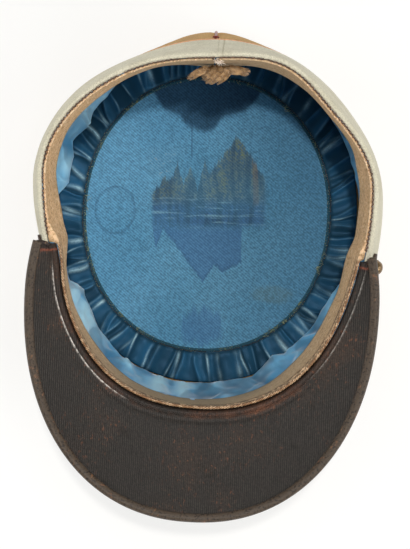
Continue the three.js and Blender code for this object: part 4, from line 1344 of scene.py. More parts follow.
def twillMaterial():
    look = twillLook
    stain = stainLook
    material, tree, shader = newMaterial("blueTwill")
    place, cloth = placeCoords(tree)
    weave = useGroup(
        tree, threadWeave,
        {
            "Vector": place, "Pitch": look["pitch"], "Turn": -math.radians(52), "Cross": 0.25,
            "Wobble": 0.12,
        },
    )
    broad = noiseAt(tree, place, 16.0, 4.0)
    grit = noiseAt(tree, place, 700.0, 4.0, 0.7)
    base = cleanTwill(tree, place, weave, broad, grit)

    turned = put(
        tree, "VectorRotate", {"Vector": place, "Angle": -math.radians(view["turn"])},
        rotation_type="Z_AXIS",
    )
    spots = stretch(tree, turned.outputs[0], (1000.0, 1000.0, 1000.0))
    split = put(tree, "SeparateXYZ", {0: spots})
    along, up = split.outputs["X"], split.outputs["Y"]
    thin = stretch(tree, spots, (0.5, 0.045, 0.0))
    spikes = noiseAt(tree, thin, 1.0, 4.0, 0.65)
    jitter = times(tree, minus(tree, spikes, 0.5), stain["jitter"])
    moved = plus(tree, along, times(tree, minus(tree, broad, 0.5), stain["drift"]))
    blot, low, lowRim = stainMasks(tree, spots, moved, up, jitter)
    inBlot = stainTone(tree, spots, moved, up, weave, grit)
    stained = mixColour(tree, times(tree, low, 0.5), base, colour(look["stainLow"]))
    stained = mixColour(tree, times(tree, lowRim, 0.28), stained, colour(look["stainDark"]))
    fade = times(tree, ramp(tree, broad, 0.36, 0.56, 0.55, 0.95), ramp(tree, grit, 0.3, 0.55, 0.7, 1.0))
    stained = mixColour(tree, times(tree, blot, fade), stained, inBlot)

    dust = times(tree, ramp(tree, grit, 0.54, 0.64), ramp(tree, broad, 0.44, 0.56))
    near = between(tree, along, stain["dustLeft"], stain["dustRight"])
    near = times(tree, near, between(tree, up, stain["dustFoot"], stain["dustTop"]))
    dust = times(tree, dust, near)
    stained = mixColour(tree, times(tree, dust, 0.55), stained, colour(look["dust"]))
    rise = between(tree, up, stain["hairlineFoot"], stain["hairlineTop"])
    hairline = times(tree, rise, nearTo(tree, along, stain["hairlineAt"], 0.6, 0.2, 0.0, 0.55))
    stained = mixColour(tree, hairline, stained, colour(look["stainDark"]))
    # painted shadow of the back rim and the tuft, darkening the back of the lining down to a scalloped edge
    toPaintedShadow = minus(tree, plus(tree, up, times(tree, jitter, 0.12)), curveOf(tree, along, paintedShadowEdge))
    paintedShadow = times(tree, ramp(tree, toPaintedShadow, *stain["paintedShadowFade"]), ramp(tree, broad, 0.3, 0.6, 0.85, 1.0))
    stained = mixColour(tree, paintedShadow, stained, colour(look["paintedShadow"]), "MULTIPLY")
    for mark in stainMarks:
        blotted = useGroup(tree, stainBlot, {
            "Vector": place, "Centre": mark["centre"], "Size": mark["size"],
            "Streak": mark["streak"], "Ragged": mark["ragged"], "Edge": mark["edge"],
        })
        share = times(tree, blotted[mark["part"]], mark["share"])
        stained = mixColour(tree, share, stained, colour(look[mark["tone"]]))
    tree.links.new(stained, shader.inputs["Base Color"])
    setShader(shader, {"Roughness": 0.85, "Sheen Weight": 0.15, "Specular IOR Level": 0.2})
    addBump(tree, shader, weave["Height"], 0.4, 0.00018)
    return material


def makeCrownLining():
    look = twillLook
    around = turns(look["around"])
    edge = panelPoints(around, 0)
    shares = np.linspace(0.0004, 1, look["rings"])
    upper = edge[:, None, :] * shares[None, :, None]
    pucker = 0.2 * np.sin(np.degrees(around)[:, None] * 0.9) * smoothStep(shares, 0.8, 0.95)[None, :]
    swell = look["ripple"] * softNoise(upper, 26, 51) * (1 - shares[None, :] ** 6)
    upper[..., 2] = look["floor"] + look["thickness"] + swell
    upper[..., 2] += np.where(shares[None, :] < 0.93, pucker, 0)
    lower = upper[:, ::-4].copy()
    lower[..., 2] = look["floor"]
    piece = skinOf("crownLiningTwill", np.concatenate([upper, lower], axis=1))
    piece.data.materials.append(twillMaterial())
    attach(piece, "root")
    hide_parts("crown_lining")
    return piece


crownLining = makeCrownLining()
print("stage: linings made")

# Peak: flange, bend and ribbed blade
peakLook = {
    "around": 460, "thickness": 2.4, "flange": 1.4, "flangeHeight": 8, "hornAngle": 24, "sideReach": 2.4,
    "frontReach": 54.4, "widestAt": -50, "fullness": 2.2, "hornReach": 62, "hornTurn": 17.3, "slope": 22,
    "ridgeInset": 1, "ridgeRise": 0.3, "bladeSteps": 44, "dish": 1.0,
    "base": "2d2925", "pit": "131110", "brown": "3a2b21", "edge": "6b422c", "groove": "15100d",
    "shine": "cfc9c2", "horn": "231a16", "hornLine": "8a4a33", "ribPitch": 0.00112, "ribDepth": 0.8,
}
peakEndTurn = math.radians(360 - peakLook["hornAngle"])
ridgeHeight = gap + peakLook["thickness"] + peakLook["ridgeRise"]
flangeOuter = capShape["bandThickness"] + 2 * gap
flangeInner = flangeOuter + peakLook["flange"]


def peakRidge(around):
    return rimPoints(around, peakLook["ridgeInset"] + kinkAt(around), ridgeHeight)


def peakEdgeTop(around):
    look = peakLook
    share = (around - frontTurn) / (peakEndTurn - frontTurn)
    turn = frontTurn + share * math.radians(90 + look["hornTurn"])
    halfWidth = capShape["rimHalfWidth"] + look["sideReach"]
    front = capShape["rimFront"] + look["frontReach"]
    reach = ovalReach(turn, halfWidth, front, look["hornReach"], look["widestAt"], look["fullness"], 2)
    edge = np.stack(
        [reach * np.cos(turn), look["widestAt"] + reach * np.sin(turn), np.zeros_like(reach)], axis=-1,
    )
    ridge = peakRidge(around)
    run = np.linalg.norm((edge - ridge)[..., :2], axis=-1)
    edge[..., 2] = rimPlane(edge[..., 1]) + ridgeHeight + run * math.tan(math.radians(look["slope"]))
    return edge


def unit(vectors):
    return vectors / np.maximum(np.linalg.norm(vectors, axis=-1, keepdims=True), 1e-9)


def bladeFrame(around):
    step = math.radians(0.2)
    top = peakEdgeTop(around)
    along = unit(peakEdgeTop(around + step) - peakEdgeTop(around - step))
    normal = unit(np.cross(along, peakRidge(around) - top))
    normal = np.where(normal[..., 2:] < 0, -normal, normal)
    out = unit(np.cross(normal, along))
    facing = np.sum(out * (peakRidge(around) - top), axis=-1, keepdims=True)
    return top, normal, np.where(facing > 0, -out, out)


def peakMaterial():
    look = peakLook
    material, tree, shader = newMaterial("ribbedBlackLeather")
    place, cloth = placeCoords(tree)
    across = put(tree, "SeparateXYZ", {0: place}).outputs["X"]
    wander = noiseAt(tree, place, 22.0, 2.0)
    phase = calc(tree, "DIVIDE", times(tree, across, 2 * math.pi), look["ribPitch"])
    wave = calc(tree, "SINE", plus(tree, phase, times(tree, wander, 3.0)))
    ribs = ramp(tree, wave, -1.0, 1.0)
    grain = useGroup(
        tree, leatherGrain, {"Vector": place, "Grain Size": 1200.0, "Wear Size": 38.0, "Wear": 0.5},
    )
    broad = noiseAt(tree, place, 24.0, 6.0, 0.65)
    tall = stretch(tree, place, (560.0, 380.0, 380.0))
    fleck = noiseAt(tree, tall, 1.0, 3.0, 0.6)
    base = mixColour(
        tree, ramp(tree, ribs, 0.0, 1.0, 0.85, 0.0), colour(look["base"]), colour(look["pit"]),
    )
    rubbed = times(tree, ramp(tree, broad, 0.48, 0.68), 0.5)
    tone = mixColour(tree, rubbed, base, colour(look["brown"]))
    flecks = times(tree, ramp(tree, fleck, 0.58, 0.68), ramp(tree, broad, 0.42, 0.58))
    tone = mixColour(tree, times(tree, flecks, 0.5), tone, colour(look["edge"]))
    # painted shade in the groove beside the welt, and a dark seam line inside the binding
    tone = mixColour(tree, maskOf(tree, "groove"), tone, colour(look["groove"]))
    edged = times(tree, maskOf(tree, "edgeWear"), ramp(tree, broad, 0.42, 0.66))
    tone = mixColour(tree, times(tree, edged, 0.8), tone, colour(look["edge"]))
    rough = noiseAt(tree, place, 420.0, 4.0, 0.7)
    shine = times(tree, maskOf(tree, "shine"), ramp(tree, rough, 0.38, 0.58, 0.25, 0.95))
    tone = mixColour(tree, shine, tone, colour(look["shine"]))
    tone = mixColour(tree, maskOf(tree, "hornPatch"), tone, colour(look["horn"]))
    tone = mixColour(tree, maskOf(tree, "hornLine"), tone, colour(look["hornLine"]))
    gritty = noiseAt(tree, place, 820.0, 4.0, 0.75)
    tone = mixColour(tree, 1.0, tone, ramp(tree, gritty, 0.36, 0.64, 0.62, 1.5), "MULTIPLY")
    tree.links.new(tone, shader.inputs["Base Color"])
    tree.links.new(ramp(tree, grain["Wear Mask"], 0.0, 1.0, 0.5, 0.7), shader.inputs["Roughness"])
    setShader(shader, {"Specular IOR Level": 0.25})
    height = plus(tree, times(tree, ribs, 0.8), times(tree, grain["Height"], 0.4))
    addBump(tree, shader, height, look["ribDepth"], 0.00025)
    return material


def angleBand(around, start, end, soft):
    turn = np.degrees(around) % 360
    return smoothStep(turn, start - soft, start + soft) * (1 - smoothStep(turn, end - soft, end + soft))


def makePeak():
    look = peakLook
    around = turns(look["around"], math.radians(180 + look["hornAngle"]), peakEndTurn, closed=False)
    top, normal, out = bladeFrame(around)
    ridge = peakRidge(around)
    kink = kinkAt(around)
    run = np.linalg.norm(top - ridge, axis=-1)
    low = rimHeight(around) - look["flangeHeight"]
    ridgeShine = angleBand(around, 212, 250, 4) + 0.35 * angleBand(around, 303, 332, 5)
    frontRub = angleBand(around, 246, 296, 6)
    none = np.zeros(len(around))
    rows, wear, groove, shine = [], [], [], []

    def addRow(points, wearRow=0.0, shadeAndSeamRow=0.0, shineRow=0.0):
        rows.append(points)
        wear.append(wearRow + none)
        groove.append(shadeAndSeamRow + none)
        shine.append(shineRow + none)

    def bend(share, rise):
        return rimPoints(around, lerp(flangeInner, look["ridgeInset"], share) + kink, rise * ridgeHeight)

    addRow(wallPoints(around, low, flangeInner + kink))
    addRow(wallPoints(around, low + 4, flangeInner + kink))
    addRow(rimPoints(around, flangeInner + kink, gap), shadeAndSeamRow=1.0)
    # the bend's rows: share across, rise, and how dark the painted shade in its groove is
    ridgeProfile = [
        (0.08, 0.4, 1), (0.18, 0.62, 0.9), (0.32, 0.8, 0.35), (0.5, 0.92, 0), (0.66, 0.95, 0),
        (0.8, 0.9, 0.3), (0.9, 0.92, 0.35),
    ]
    for share, rise, dark in ridgeProfile:
        addRow(bend(share, rise), wearRow=0.7 * frontRub * share + 0.1, shadeAndSeamRow=dark * 0.8)
    for i in range(look["bladeSteps"]):
        share = (i / (look["bladeSteps"] - 1)) ** 1.7
        far = share * run
        crest = 0.5 * np.exp(-((far / 0.5) ** 2)) - 0.3 * np.exp(-(((far - 2.4) / 1.4) ** 2))
        dish = -look["dish"] * math.sin(math.pi * share) ** 1.2 * 0.5
        line = np.exp(-((far / 0.5) ** 2)) * ridgeShine
        worn = 0.9 * np.exp(-((far / 1.6) ** 2)) * frontRub + 0.5 * smoothStep(share, 0.93, 1.0)
        # a dark seam line along the binding's inner edge
        inside = 0.35 * np.exp(-(((run - far - 3.9) / 0.35) ** 2))
        addRow(lerp(ridge, top, share) + normal * (crest + dish)[:, None], worn, inside, line)
    outer = top - normal * look["thickness"]
    addRow(top + out * 0.15 - normal * 0.6, 1)
    addRow(top + out * 0.15 - normal * 1.8, 1)
    addRow(outer, 0.8)
    for share in (0.85, 0.7, 0.55, 0.4, 0.25, 0.12):
        addRow(lerp(ridge, top, share) - normal * look["thickness"])
    addRow(rimPoints(around, look["ridgeInset"], gap))
    addRow(rimPoints(around, flangeOuter + kink, gap))
    addRow(wallPoints(around, low, flangeOuter + kink))
    piece = skinOf("peakLeather", np.stack(rows, axis=1), closed=False)
    length = np.concatenate([[0], np.cumsum(np.linalg.norm(np.diff(ridge, axis=0), axis=-1))])
    fromHorn = np.minimum(length, length[-1] - length)[:, None] + np.zeros((1, len(rows)))
    storeMask(piece, "edgeWear", np.stack(wear, axis=1))
    storeMask(piece, "groove", np.stack(groove, axis=1))
    storeMask(piece, "shine", np.stack(shine, axis=1))
    storeMask(piece, "hornPatch", 0.8 * (1 - smoothStep(fromHorn, 2.2, 3.4)))
    storeMask(piece, "hornLine", 0.7 * np.exp(-(((fromHorn - 3.4) / 0.5) ** 2)))
    piece.data.materials.append(peakMaterial())
    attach(piece, "root")
    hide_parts("peak")


makePeak()

# Binding folded over the peak's edge
bindingLook = {
    "around": 460, "thickness": 0.8, "width": 3.5,
    "base": "473c31", "pit": "241d18", "worn": "8c6045", "scratch": "a8754f", "grainSize": 900.0,
    "wearSize": 150.0, "wear": 0.45, "scratchSize": 70.0, "scratchShare": 0.35, "roughness": 0.5,
    "gloss": 0.3, "depth": 0.5,
}


def makeBinding():
    look = bindingLook
    around = turns(look["around"], math.radians(180 + peakLook["hornAngle"]), peakEndTurn, closed=False)
    top, normal, out = bladeFrame(around)
    middle = top - normal * peakLook["thickness"] / 2
    inner = peakLook["thickness"] / 2 + gap
    outer = inner + look["thickness"]
    lip, nose = -look["width"], gap + look["thickness"]
    profile = [
        (lip, inner), (gap, inner), (gap, -inner), (lip, -inner), (lip, -outer + 0.2),
        (lip + 0.3, -outer), (gap, -outer), (nose * 0.75, -outer * 0.7), (nose, 0),
        (nose * 0.75, outer * 0.7), (gap, outer - 0.1), (-1.2, outer), (-2.2, outer - 0.15),
        (lip + 0.3, outer - 0.3), (lip, inner + 0.1),
    ]
    rows = [middle + out * x + normal * y for x, y in profile]
    sections = np.stack(rows, axis=1)
    ripple = 0.1 * softNoise(sections, 3.0, 61)
    sections = sections + normal[:, None, :] * ripple[..., None]
    piece = skinOf("peakBindingLeather", sections, closed=False)
    piece.data.materials.append(leatherMaterial("rubbedBrownLeather", look))
    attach(piece, "root")
    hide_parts("peak_binding")


makeBinding()

# Welt between sweatband and peak, whipped over with thread
weltLook = {
    "around": 2400, "radius": 0.8, "stitchEvery": 1.9, "slant": 1.5,
    "base": "8c6542", "pit": "51341f", "stitch": "f2d6b0", "gap": "2a1a11",
}


def weltMaterial():
    look = weltLook
    material, tree, shader = newMaterial("weltLeather")
    place, cloth = placeCoords(tree)
    grain = useGroup(
        tree, leatherGrain, {"Vector": place, "Grain Size": 1000.0, "Wear Size": 160.0, "Wear": 0.5},
    )
    base = mixColour(tree, grain["Wear Mask"], colour(look["base"]), colour(look["pit"]))
    broken = noiseAt(tree, place, 330.0, 4.0, 0.65)
    stitch = times(tree, maskOf(tree, "stitch"), ramp(tree, broken, 0.46, 0.56, 0.05, 1.0))
    tone = mixColour(tree, stitch, base, colour(look["stitch"]))
    # dark gaps between the stitches, and painted shade on the welt's underside where it meets the band
    dark = times(tree, maskOf(tree, "between"), ramp(tree, broken, 0.62, 0.44, 0.3, 1.0))
    tone = mixColour(tree, dark, tone, colour(look["gap"]))
    tree.links.new(tone, shader.inputs["Base Color"])
    setShader(shader, {"Roughness": 0.5, "Specular IOR Level": 0.4})
    addBump(tree, shader, grain["Height"], 0.4, 0.0003)
    return material


def makeWelt():
    look = weltLook
    around = turns(look["around"], math.radians(180 + peakLook["hornAngle"]), peakEndTurn, closed=False)
    inset = flangeInner + kinkAt(around) + gap + look["radius"]
    centre = rimPoints(around, inset, gap + look["radius"])
    length = np.concatenate([[0], np.cumsum(np.linalg.norm(np.diff(centre, axis=0), axis=-1))])
    normal = rimPoints(around, inset - 1, 0) - rimPoints(around, inset, 0)
    sides = 10
    turn = 2 * math.pi * np.arange(sides)[None, :] / sides
    wave = np.cos((length[:, None] + look["slant"] * np.cos(turn)) * 2 * math.pi / look["stitchEvery"])
    radius = look["radius"] * (1 + 0.14 * wave)[..., None]
    sideways = unit(normal)[:, None, :] * np.cos(turn)[..., None]
    spokes = sideways + np.array([0, 0, 1.0]) * np.sin(turn)[..., None]
    piece = skinOf("peakWeltLeather", centre[:, None, :] + spokes * radius, closed=False)
    storeMask(piece, "stitch", smoothStep(wave, 0.2, 0.9))
    # the mask holds the dark gaps between stitches and painted shade on the lower side of the welt
    low = np.clip(1 - np.sin(turn) * 1.6, 0, 1)
    storeMask(piece, "between", np.maximum(smoothStep(-wave, 0.3, 0.9) * 0.9, low))
    piece.data.materials.append(weltMaterial())
    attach(piece, "root")
    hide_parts("peak_welt")


makeWelt()
print("stage: peak made")

# Chin strap and its buttons
strapLook = {
    "around": 260, "width": 10, "thickness": 1.5, "drop": 11, "tipAngle": 19.6,
    "base": "3d2c23", "pit": "211813", "worn": "714732", "scratch": "9a7354", "grainSize": 800.0,
    "wearSize": 70.0, "wear": 0.6, "scratchSize": 40.0, "scratchShare": 0.5, "roughness": 0.45,
    "gloss": 0.45, "depth": 0.5,
}
buttonLook = {"angle": 23.6, "radius": 4.5, "dome": 4.4, "rim": 1.0, "shank": 1.0, "sides": 48,
              "base": "5f4c3a", "dark": "241a13", "shine": "8b7558"}


def makeStrap():
    look = strapLook
    around = turns(
        look["around"], math.radians(180 + look["tipAngle"]), math.radians(360 - look["tipAngle"]),
        closed=False,
    )
    fromEnd = np.minimum(np.arange(len(around)), np.arange(len(around))[::-1])
    narrow = 0.3 + 0.7 * np.sqrt(np.clip(fromEnd / 6.0, 0, 1))
    middle = rimHeight(around) - look["drop"]
    half = look["width"] / 2 * narrow
    rows = []
    faceProfile = [
        (-1, 0.35), (-0.93, 0.0), (-0.8, 0.0), (-0.74, 0.3), (-0.66, 0.0), (-0.2, -0.12),
        (0.2, -0.12), (0.66, 0.0), (0.74, 0.3), (0.8, 0.0), (0.93, 0.0), (1, 0.35),
    ]
    for share, lift in faceProfile:
        rows.append(wallPoints(around, middle + share * half, -gap - look["thickness"] + lift))
    for share in (1, 0.5, 0, -0.5, -1):
        rows.append(wallPoints(around, middle + share * half, -gap))
    piece = skinOf("chinStrapLeather", np.stack(rows, axis=1), closed=False)
    piece.data.materials.append(leatherMaterial("darkStrapLeather", look))
    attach(piece, "root")
    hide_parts("chin_strap")


def buttonMaterial():
    look = buttonLook
    material, tree, shader = newMaterial("tarnishedButton")
    place, cloth = placeCoords(tree)
    grain = useGroup(
        tree, leatherGrain, {"Vector": place, "Grain Size": 1500.0, "Wear Size": 260.0, "Wear": 0.6},
    )
    crust = mixColour(tree, grain["Wear Mask"], colour(look["base"]), colour(look["dark"]))
    shine = mixColour(tree, grain["Pits"], crust, colour(look["shine"]))
    tree.links.new(shine, shader.inputs["Base Color"])
    tree.links.new(ramp(tree, grain["Wear Mask"], 0.0, 1.0, 0.35, 0.7), shader.inputs["Roughness"])
    setShader(shader, {"Metallic": 0.9})
    addBump(tree, shader, grain["Height"], 0.4, 0.0002)
    return material


def makeButton(side, name, node, material):
    look = buttonLook
    turn = math.radians(180 + look["angle"] if side < 0 else 360 - look["angle"])
    here = np.array(turn)
    z = rimHeight(here) - strapLook["drop"]
    centre = Vector(wallPoints(here, z, 0.0))
    step = math.radians(1)
    sideways = Vector(wallPoints(here + step, z, 0.0) - wallPoints(here - step, z, 0.0))
    rise = Vector(wallPoints(here, z + 1, 0.0) - wallPoints(here, z - 1, 0.0))
    out = sideways.cross(rise).normalized()
    across = out.cross(Vector((0, 0, 1))).normalized()
    high = across.cross(out)
    seat = 2 * gap + strapLook["thickness"]
    radius, rimTop = look["radius"], seat + look["rim"]
    profile = [
        (look["shank"], gap), (look["shank"], seat), (radius - 0.2, seat), (radius, seat + 0.2),
        (radius, rimTop - 0.2), (radius - 0.25, rimTop),
    ]
    for i in range(1, 9):
        lift = math.radians(i * 10)
        domeRise = (look["dome"] - look["rim"]) * math.sin(lift)
        profile.append(((radius - 0.5) * math.cos(lift), rimTop + domeRise))
    rows = []
    for k in range(look["sides"]):
        angle = 2 * math.pi * k / look["sides"]
        spoke = across * math.cos(angle) + high * math.sin(angle)
        rows.append([tuple(centre + spoke * r + out * h) for r, h in profile])
    rows = np.array(rows)
    ends = [centre + out * gap, centre + out * (seat + look["dome"])]
    rows = np.concatenate([np.tile(np.array(ends[0]), (look["sides"], 1, 1)), rows,
                           np.tile(np.array(ends[1]), (look["sides"], 1, 1))], axis=1)
    verts = [tuple(Vector(p) * toMetres) for p in rows[:, 1:-1].reshape(-1, 3)]
    size = rows.shape[1] - 2
    faces = []
    for k in range(look["sides"]):
        a, b = k * size, (k + 1) % look["sides"] * size
        faces.extend((a + j, b + j, b + j + 1, a + j + 1) for j in range(size - 1))
    bottom, topSpot = len(verts), len(verts) + 1
    verts.extend([tuple(ends[0] * toMetres), tuple(ends[1] * toMetres)])
    for k in range(look["sides"]):
        a, b = k * size, (k + 1) % look["sides"] * size
        faces.append((bottom, b, a))
        faces.append((topSpot, a + size - 1, b + size - 1))
    piece = pieceFrom(name, verts, faces)
    piece.data.materials.append(material)
    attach(piece, "root")
    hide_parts(node)


makeStrap()
tarnish = buttonMaterial()
makeButton(-1, "leftButtonMetal", "side_button_left", tarnish)
makeButton(1, "rightButtonMetal", "side_button_right", tarnish)
print("stage: strap and buttons made")

# Stitches along the rim, the hem and the back seam
stitchSpan = (-21, 201)
rimStitchLook = {
    "step": 1.2, "radius": 0.4, "base": "6a4a34", "shade": "3a281d", "speckSize": 900.0, "twist": 300.0,
}
dashLook = {
    "step": 1.9, "radius": 0.42, "base": "f0cda6", "shade": "c99a70", "speckSize": 700.0, "twist": 240.0,
}
hornRollLook = {
    "radius": 1.1, "bulge": 1.0,
    "base": "2d2420", "pit": "171210", "worn": "7a4a32", "scratch": "b08a68", "grainSize": 800.0,
    "wearSize": 130.0, "wear": 0.6, "scratchSize": 60.0, "scratchShare": 0.5, "roughness": 0.5,
    "gloss": 0.3, "depth": 0.5,
}
hemStitchLook = {
    "step": 1.4, "radius": 0.24, "base": "14202b", "shade": "0c141b", "speckSize": 900.0, "twist": 300.0,
}
frayLook = {
    "count": 620, "radius": 0.13, "base": "9a9c66", "shade": "3e5a55", "speckSize": 260.0, "twist": 200.0,
}
knotLook = {
    "fibres": 34, "radius": 0.2, "centre": (2.1, 80.6, 103.2),
    "base": "f4e8dc", "shade": "d3bda6", "speckSize": 500.0, "twist": 260.0,
}


def finishThreads(name, verts, faces, material):
    piece = pieceFrom(name, verts, faces)
    piece.data.materials.append(material)
    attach(piece, "root")
    return piece


def evenTurns(makePoint, every, start, end):
    fine = np.linspace(start, end, 4000)
    line = makePoint(fine)
    length = np.concatenate([[0], np.cumsum(np.linalg.norm(np.diff(line, axis=0), axis=-1))])
    return np.interp(np.arange(every / 2, length[-1], every), length, fine)


# a dark thread that runs on in a zigzag, broken here and there
def makeRimStitches():
    look = rimStitchLook
    rng = random.Random(13)
    verts, faces = [], []
    start, end = (math.radians(at) for at in stitchSpan)
    spots = evenTurns(lambda a: rimPoints(a, 3.2, 0.0), look["step"], start, end)
    run = []
    for i, turn in enumerate(spots):
        sway = 0.45 if i % 2 else -0.45
        sway *= 1 - 0.65 * bump(turn, 90, 45)
        inset = 3.15 + sway * rng.uniform(0.5, 1.3) + rng.uniform(-0.12, 0.12)
        run.append((turn, inset, rng.uniform(0.1, 0.34)))
        broken = rng.random() < 0.07 or apart(turn, 88.5) < 1.2
        if broken or i == len(spots) - 1:
            if len(run) > 2:
                at, insets, rises = (np.array(v) for v in zip(*run))
                radius = look["radius"] * rng.uniform(0.8, 1.3)
                addTube(verts, faces, rimPoints(at, insets, rises), radius, 5, rng.uniform(0.7, 1.1))
            run = []
    finishThreads("rimStitches", verts, faces, threadMaterial("darkThread", look))


# pale dashes inside the dark thread on both sides, where the leather's edge is worn through
def makeRimDashes():
    look = dashLook
    rng = random.Random(14)
    verts, faces = [], []
    start, end = (math.radians(at) for at in stitchSpan)
    for turn in evenTurns(lambda a: rimPoints(a, 4.0, 0.0), look["step"], start, end):
        if rng.random() < 0.25 + 0.6 * bump(turn, 90, 45):
            continue
        length = rng.uniform(0.4, 1.1) / 80
        inset = 4.1 + rng.uniform(-0.35, 0.35)
        ends = np.array([turn - length / 2, turn, turn + length / 2])
        insets = inset + np.array([-0.25, 0.0, 0.25]) * rng.uniform(-1, 1)
        addTube(
            verts, faces, rimPoints(ends, insets, 0.05), look["radius"] * rng.uniform(0.7, 1.3), 5, 0.7,
        )
    finishThreads("rimDashes", verts, faces, threadMaterial("paleDashes", look))


# rolled end of each horn, bulging past the blade
def makeHornRolls():
    look = hornRollLook
    verts, faces = [], []
    for at, ahead in ((180 + peakLook["hornAngle"] + 0.4, -1), (360 - peakLook["hornAngle"] - 0.4, 1)):
        around = np.radians([at - 0.5, at, at + 0.5])
        top, normal, out = bladeFrame(around)
        ridge = peakRidge(around)
        sideways = unit(top[2] - top[0]) * ahead
        path = []
        for share in (0.0, 0.12, 0.3, 0.5, 0.7, 0.88, 1.0):
            bulge = look["bulge"] * math.sin(math.pi * share) ** 0.6
            path.append(lerp(ridge[1], top[1], share) + sideways * bulge - normal[1] * 0.5)
        addTube(verts, faces, path, look["radius"], 10, 0.8)
    finishThreads("hornRolls", verts, faces, leatherMaterial("hornRollLeather", look))


def makeHemStitches():
    look = hemStitchLook
    rng = random.Random(17)
    verts, faces = [], []
    seam = -ringLook["hem"] + ringLook["hemShare"] * 18
    spots = evenTurns(lambda a: panelPoints(a, seam), look["step"], 0, 2 * math.pi)
    run = []
    for i, turn in enumerate(spots):
        spot = panelPoints(np.array([turn]), seam + rng.uniform(-0.3, 0.3))[0]
        spot[2] = ringLook["floor"] + 0.5 + rng.uniform(-0.15, 0.2)
        run.append(spot)
        if rng.random() < 0.05 or i == len(spots) - 1:
            if len(run) > 2:
                addTube(verts, faces, run, look["radius"] * rng.uniform(0.8, 1.4), 5, 0.9)
            run = []
    return finishThreads("hemStitches", verts, faces, threadMaterial("navyThread", look))


def makeFray():
    look = frayLook
    rng = random.Random(19)
    verts, faces = [], []
    for i in range(look["count"]):
        turn = rng.uniform(0, 2 * math.pi)
        thick = 0.2 + 1.7 * max(0, noise.noise(Vector((turn * 6.0, 4.2, 0))))
        length = rng.uniform(0.8, 3.4) * thick
        slant = rng.uniform(-1.3, 1.3)
        start = panelPoints(np.array([turn]), -ringLook["hem"] + rng.uniform(0, 2.6))[0]
        inwards = -start / np.linalg.norm(start)
        sideways = np.array([-inwards[1], inwards[0], 0])
        path = []
        for share in (0, 0.35, 0.7, 1.0):
            curl = sideways * (slant * share * share * length * 0.8)
            spot = start + inwards * (length * share * 0.7) + curl
            spot[2] = 4.4 + 0.5 * math.sin(math.pi * share) + rng.uniform(0, 0.25)
            path.append(spot)
        addTube(verts, faces, path, look["radius"] * rng.uniform(0.7, 1.5), 4, 0.4)
    return finishThreads("hemFray", verts, faces, threadMaterial("greenishFray", look))


def makeKnot():
    look = knotLook
    x, y, z = look["centre"]
    rng = random.Random(23)
    verts, faces = [], []
    for i in range(look["fibres"]):
        spot = Vector((x + rng.gauss(0, 0.9), y + rng.gauss(0, 0.45), z + rng.uniform(-0.6, 0.5)))
        heading = Vector((rng.uniform(-1, 1), rng.uniform(-0.6, 0.6), rng.uniform(-0.3, 0.4)))
        path = []
        for k in range(6):
            path.append(spot.copy())
            heading += Vector((rng.uniform(-0.7, 0.7), rng.uniform(-0.7, 0.7), rng.uniform(-0.3, 0.3)))
            spot += heading.normalized() * rng.uniform(0.3, 0.55)
        addTube(verts, faces, path, look["radius"] * rng.uniform(0.7, 1.4), 5, 0.6)
    finishThreads("seamKnot", verts, faces, threadMaterial("paleThread", look))


makeRimStitches()
makeRimDashes()
makeHornRolls()
hemStitches = makeHemStitches()
hemFray = makeFray()
makeKnot()
print("stage: stitches made")

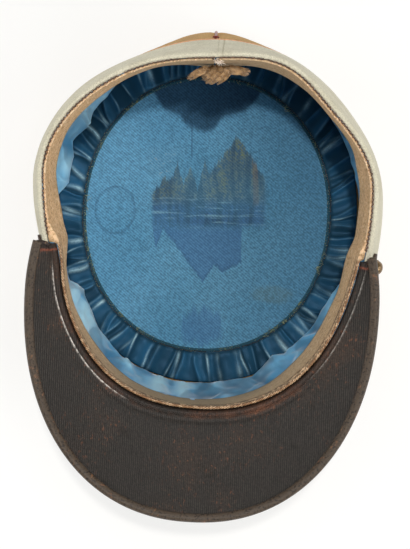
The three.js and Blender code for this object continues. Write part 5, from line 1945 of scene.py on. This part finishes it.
# Tuft of loose fibres at the back: locks from a root line, through a bend, to a tip
tuftLook = {
    "fibres": 60, "radius": 0.15, "height": 84.5,
    "base": "c6a274", "shade": "8d6a3e", "speckSize": 420.0, "twist": 160.0,
}
tuftLocks = [
    {"root": (-5.1, 77.8), "bend": (-9.4, 76.5), "tip": (-14.2, 72.7), "wide": 1.4},
    {"root": (-4.5, 76.8), "bend": (-8.2, 74.4), "tip": (-12.6, 71.9), "wide": 1.0},
    {"root": (-3.5, 78.5), "bend": (-7.2, 77.2), "tip": (-11.5, 74.2), "wide": 1.3},
    {"root": (-0.2, 79.2), "bend": (-3.4, 76.8), "tip": (-5.9, 73.4), "wide": 1.8},
    {"root": (4.2, 78.9), "bend": (-0.6, 76.4), "tip": (-4.8, 71.8), "wide": 1.9},
    {"root": (6.4, 79.0), "bend": (2.8, 75.0), "tip": (-3.6, 70.8), "wide": 1.9},
    {"root": (7.6, 78.0), "bend": (5.1, 73.4), "tip": (-0.8, 70.0), "wide": 1.7},
    {"root": (8.2, 76.3), "bend": (7.3, 73.0), "tip": (2.5, 70.5), "wide": 1.3},
    {"root": (2.0, 79.3), "bend": (-0.1, 77.6), "tip": (-2.7, 74.1), "wide": 1.8},
    {"root": (5.3, 78.9), "bend": (13.0, 79.4), "tip": (19.2, 78.2), "wide": 1.5},
    {"root": (6.5, 77.9), "bend": (13.1, 77.7), "tip": (18.6, 76.6), "wide": 1.6},
    {"root": (8.2, 76.9), "bend": (14.3, 76.7), "tip": (17.4, 75.6), "wide": 1.1},
]


def makeTuft():
    look = tuftLook
    rng = random.Random(29)
    verts, faces = [], []
    for lock in tuftLocks:
        root, middle, tip = (Vector((*lock[name], look["height"])) for name in ("root", "bend", "tip"))
        lift = rng.uniform(-0.8, 0.8)
        curl = rng.uniform(-0.9, 0.9)

        def lockPoint(share):
            point = root * (1 - share) ** 2 + middle * 2 * share * (1 - share) + tip * share ** 2
            point.z += lift + 1.6 * math.sin(math.pi * share) - 2.4 * share
            return point

        core = [lockPoint(share) - Vector((0, 0, 0.5)) for share in (0, 0.2, 0.4, 0.6, 0.8, 0.94)]
        addTube(verts, faces, core, lock["wide"] * 0.85, 10, 0.35)
        for i in range(look["fibres"]):
            sideOff = rng.gauss(0, 0.5)
            riseOff = abs(rng.gauss(0, 0.5))
            start, reach = rng.uniform(0, 0.35), rng.uniform(0.75, 1.08)
            waviness = rng.uniform(0.15, 0.7)
            phase = rng.uniform(0, 6.28)
            path = []
            for k in range(8):
                share = lerp(start, reach, k / 7)
                point = lockPoint(share)
                ahead = (lockPoint(share + 0.02) - lockPoint(share - 0.02)).normalized()
                sideways = ahead.cross(Vector((0, 0, 1))).normalized()
                spread = lock["wide"] * (1 - 0.45 * share)
                sway = waviness * math.sin(share * 7 + phase) + curl * share
                point += sideways * (sideOff * spread + sway * 0.6) + Vector((0, 0, riseOff * spread))
                path.append(point)
            addTube(verts, faces, path, look["radius"] * rng.uniform(0.7, 1.5), 4, 0.5)
    piece = finishThreads("backTuftFibres", verts, faces, threadMaterial("tanTow", look))
    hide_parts("back_tuft")


makeTuft()
print("stage: tuft made")
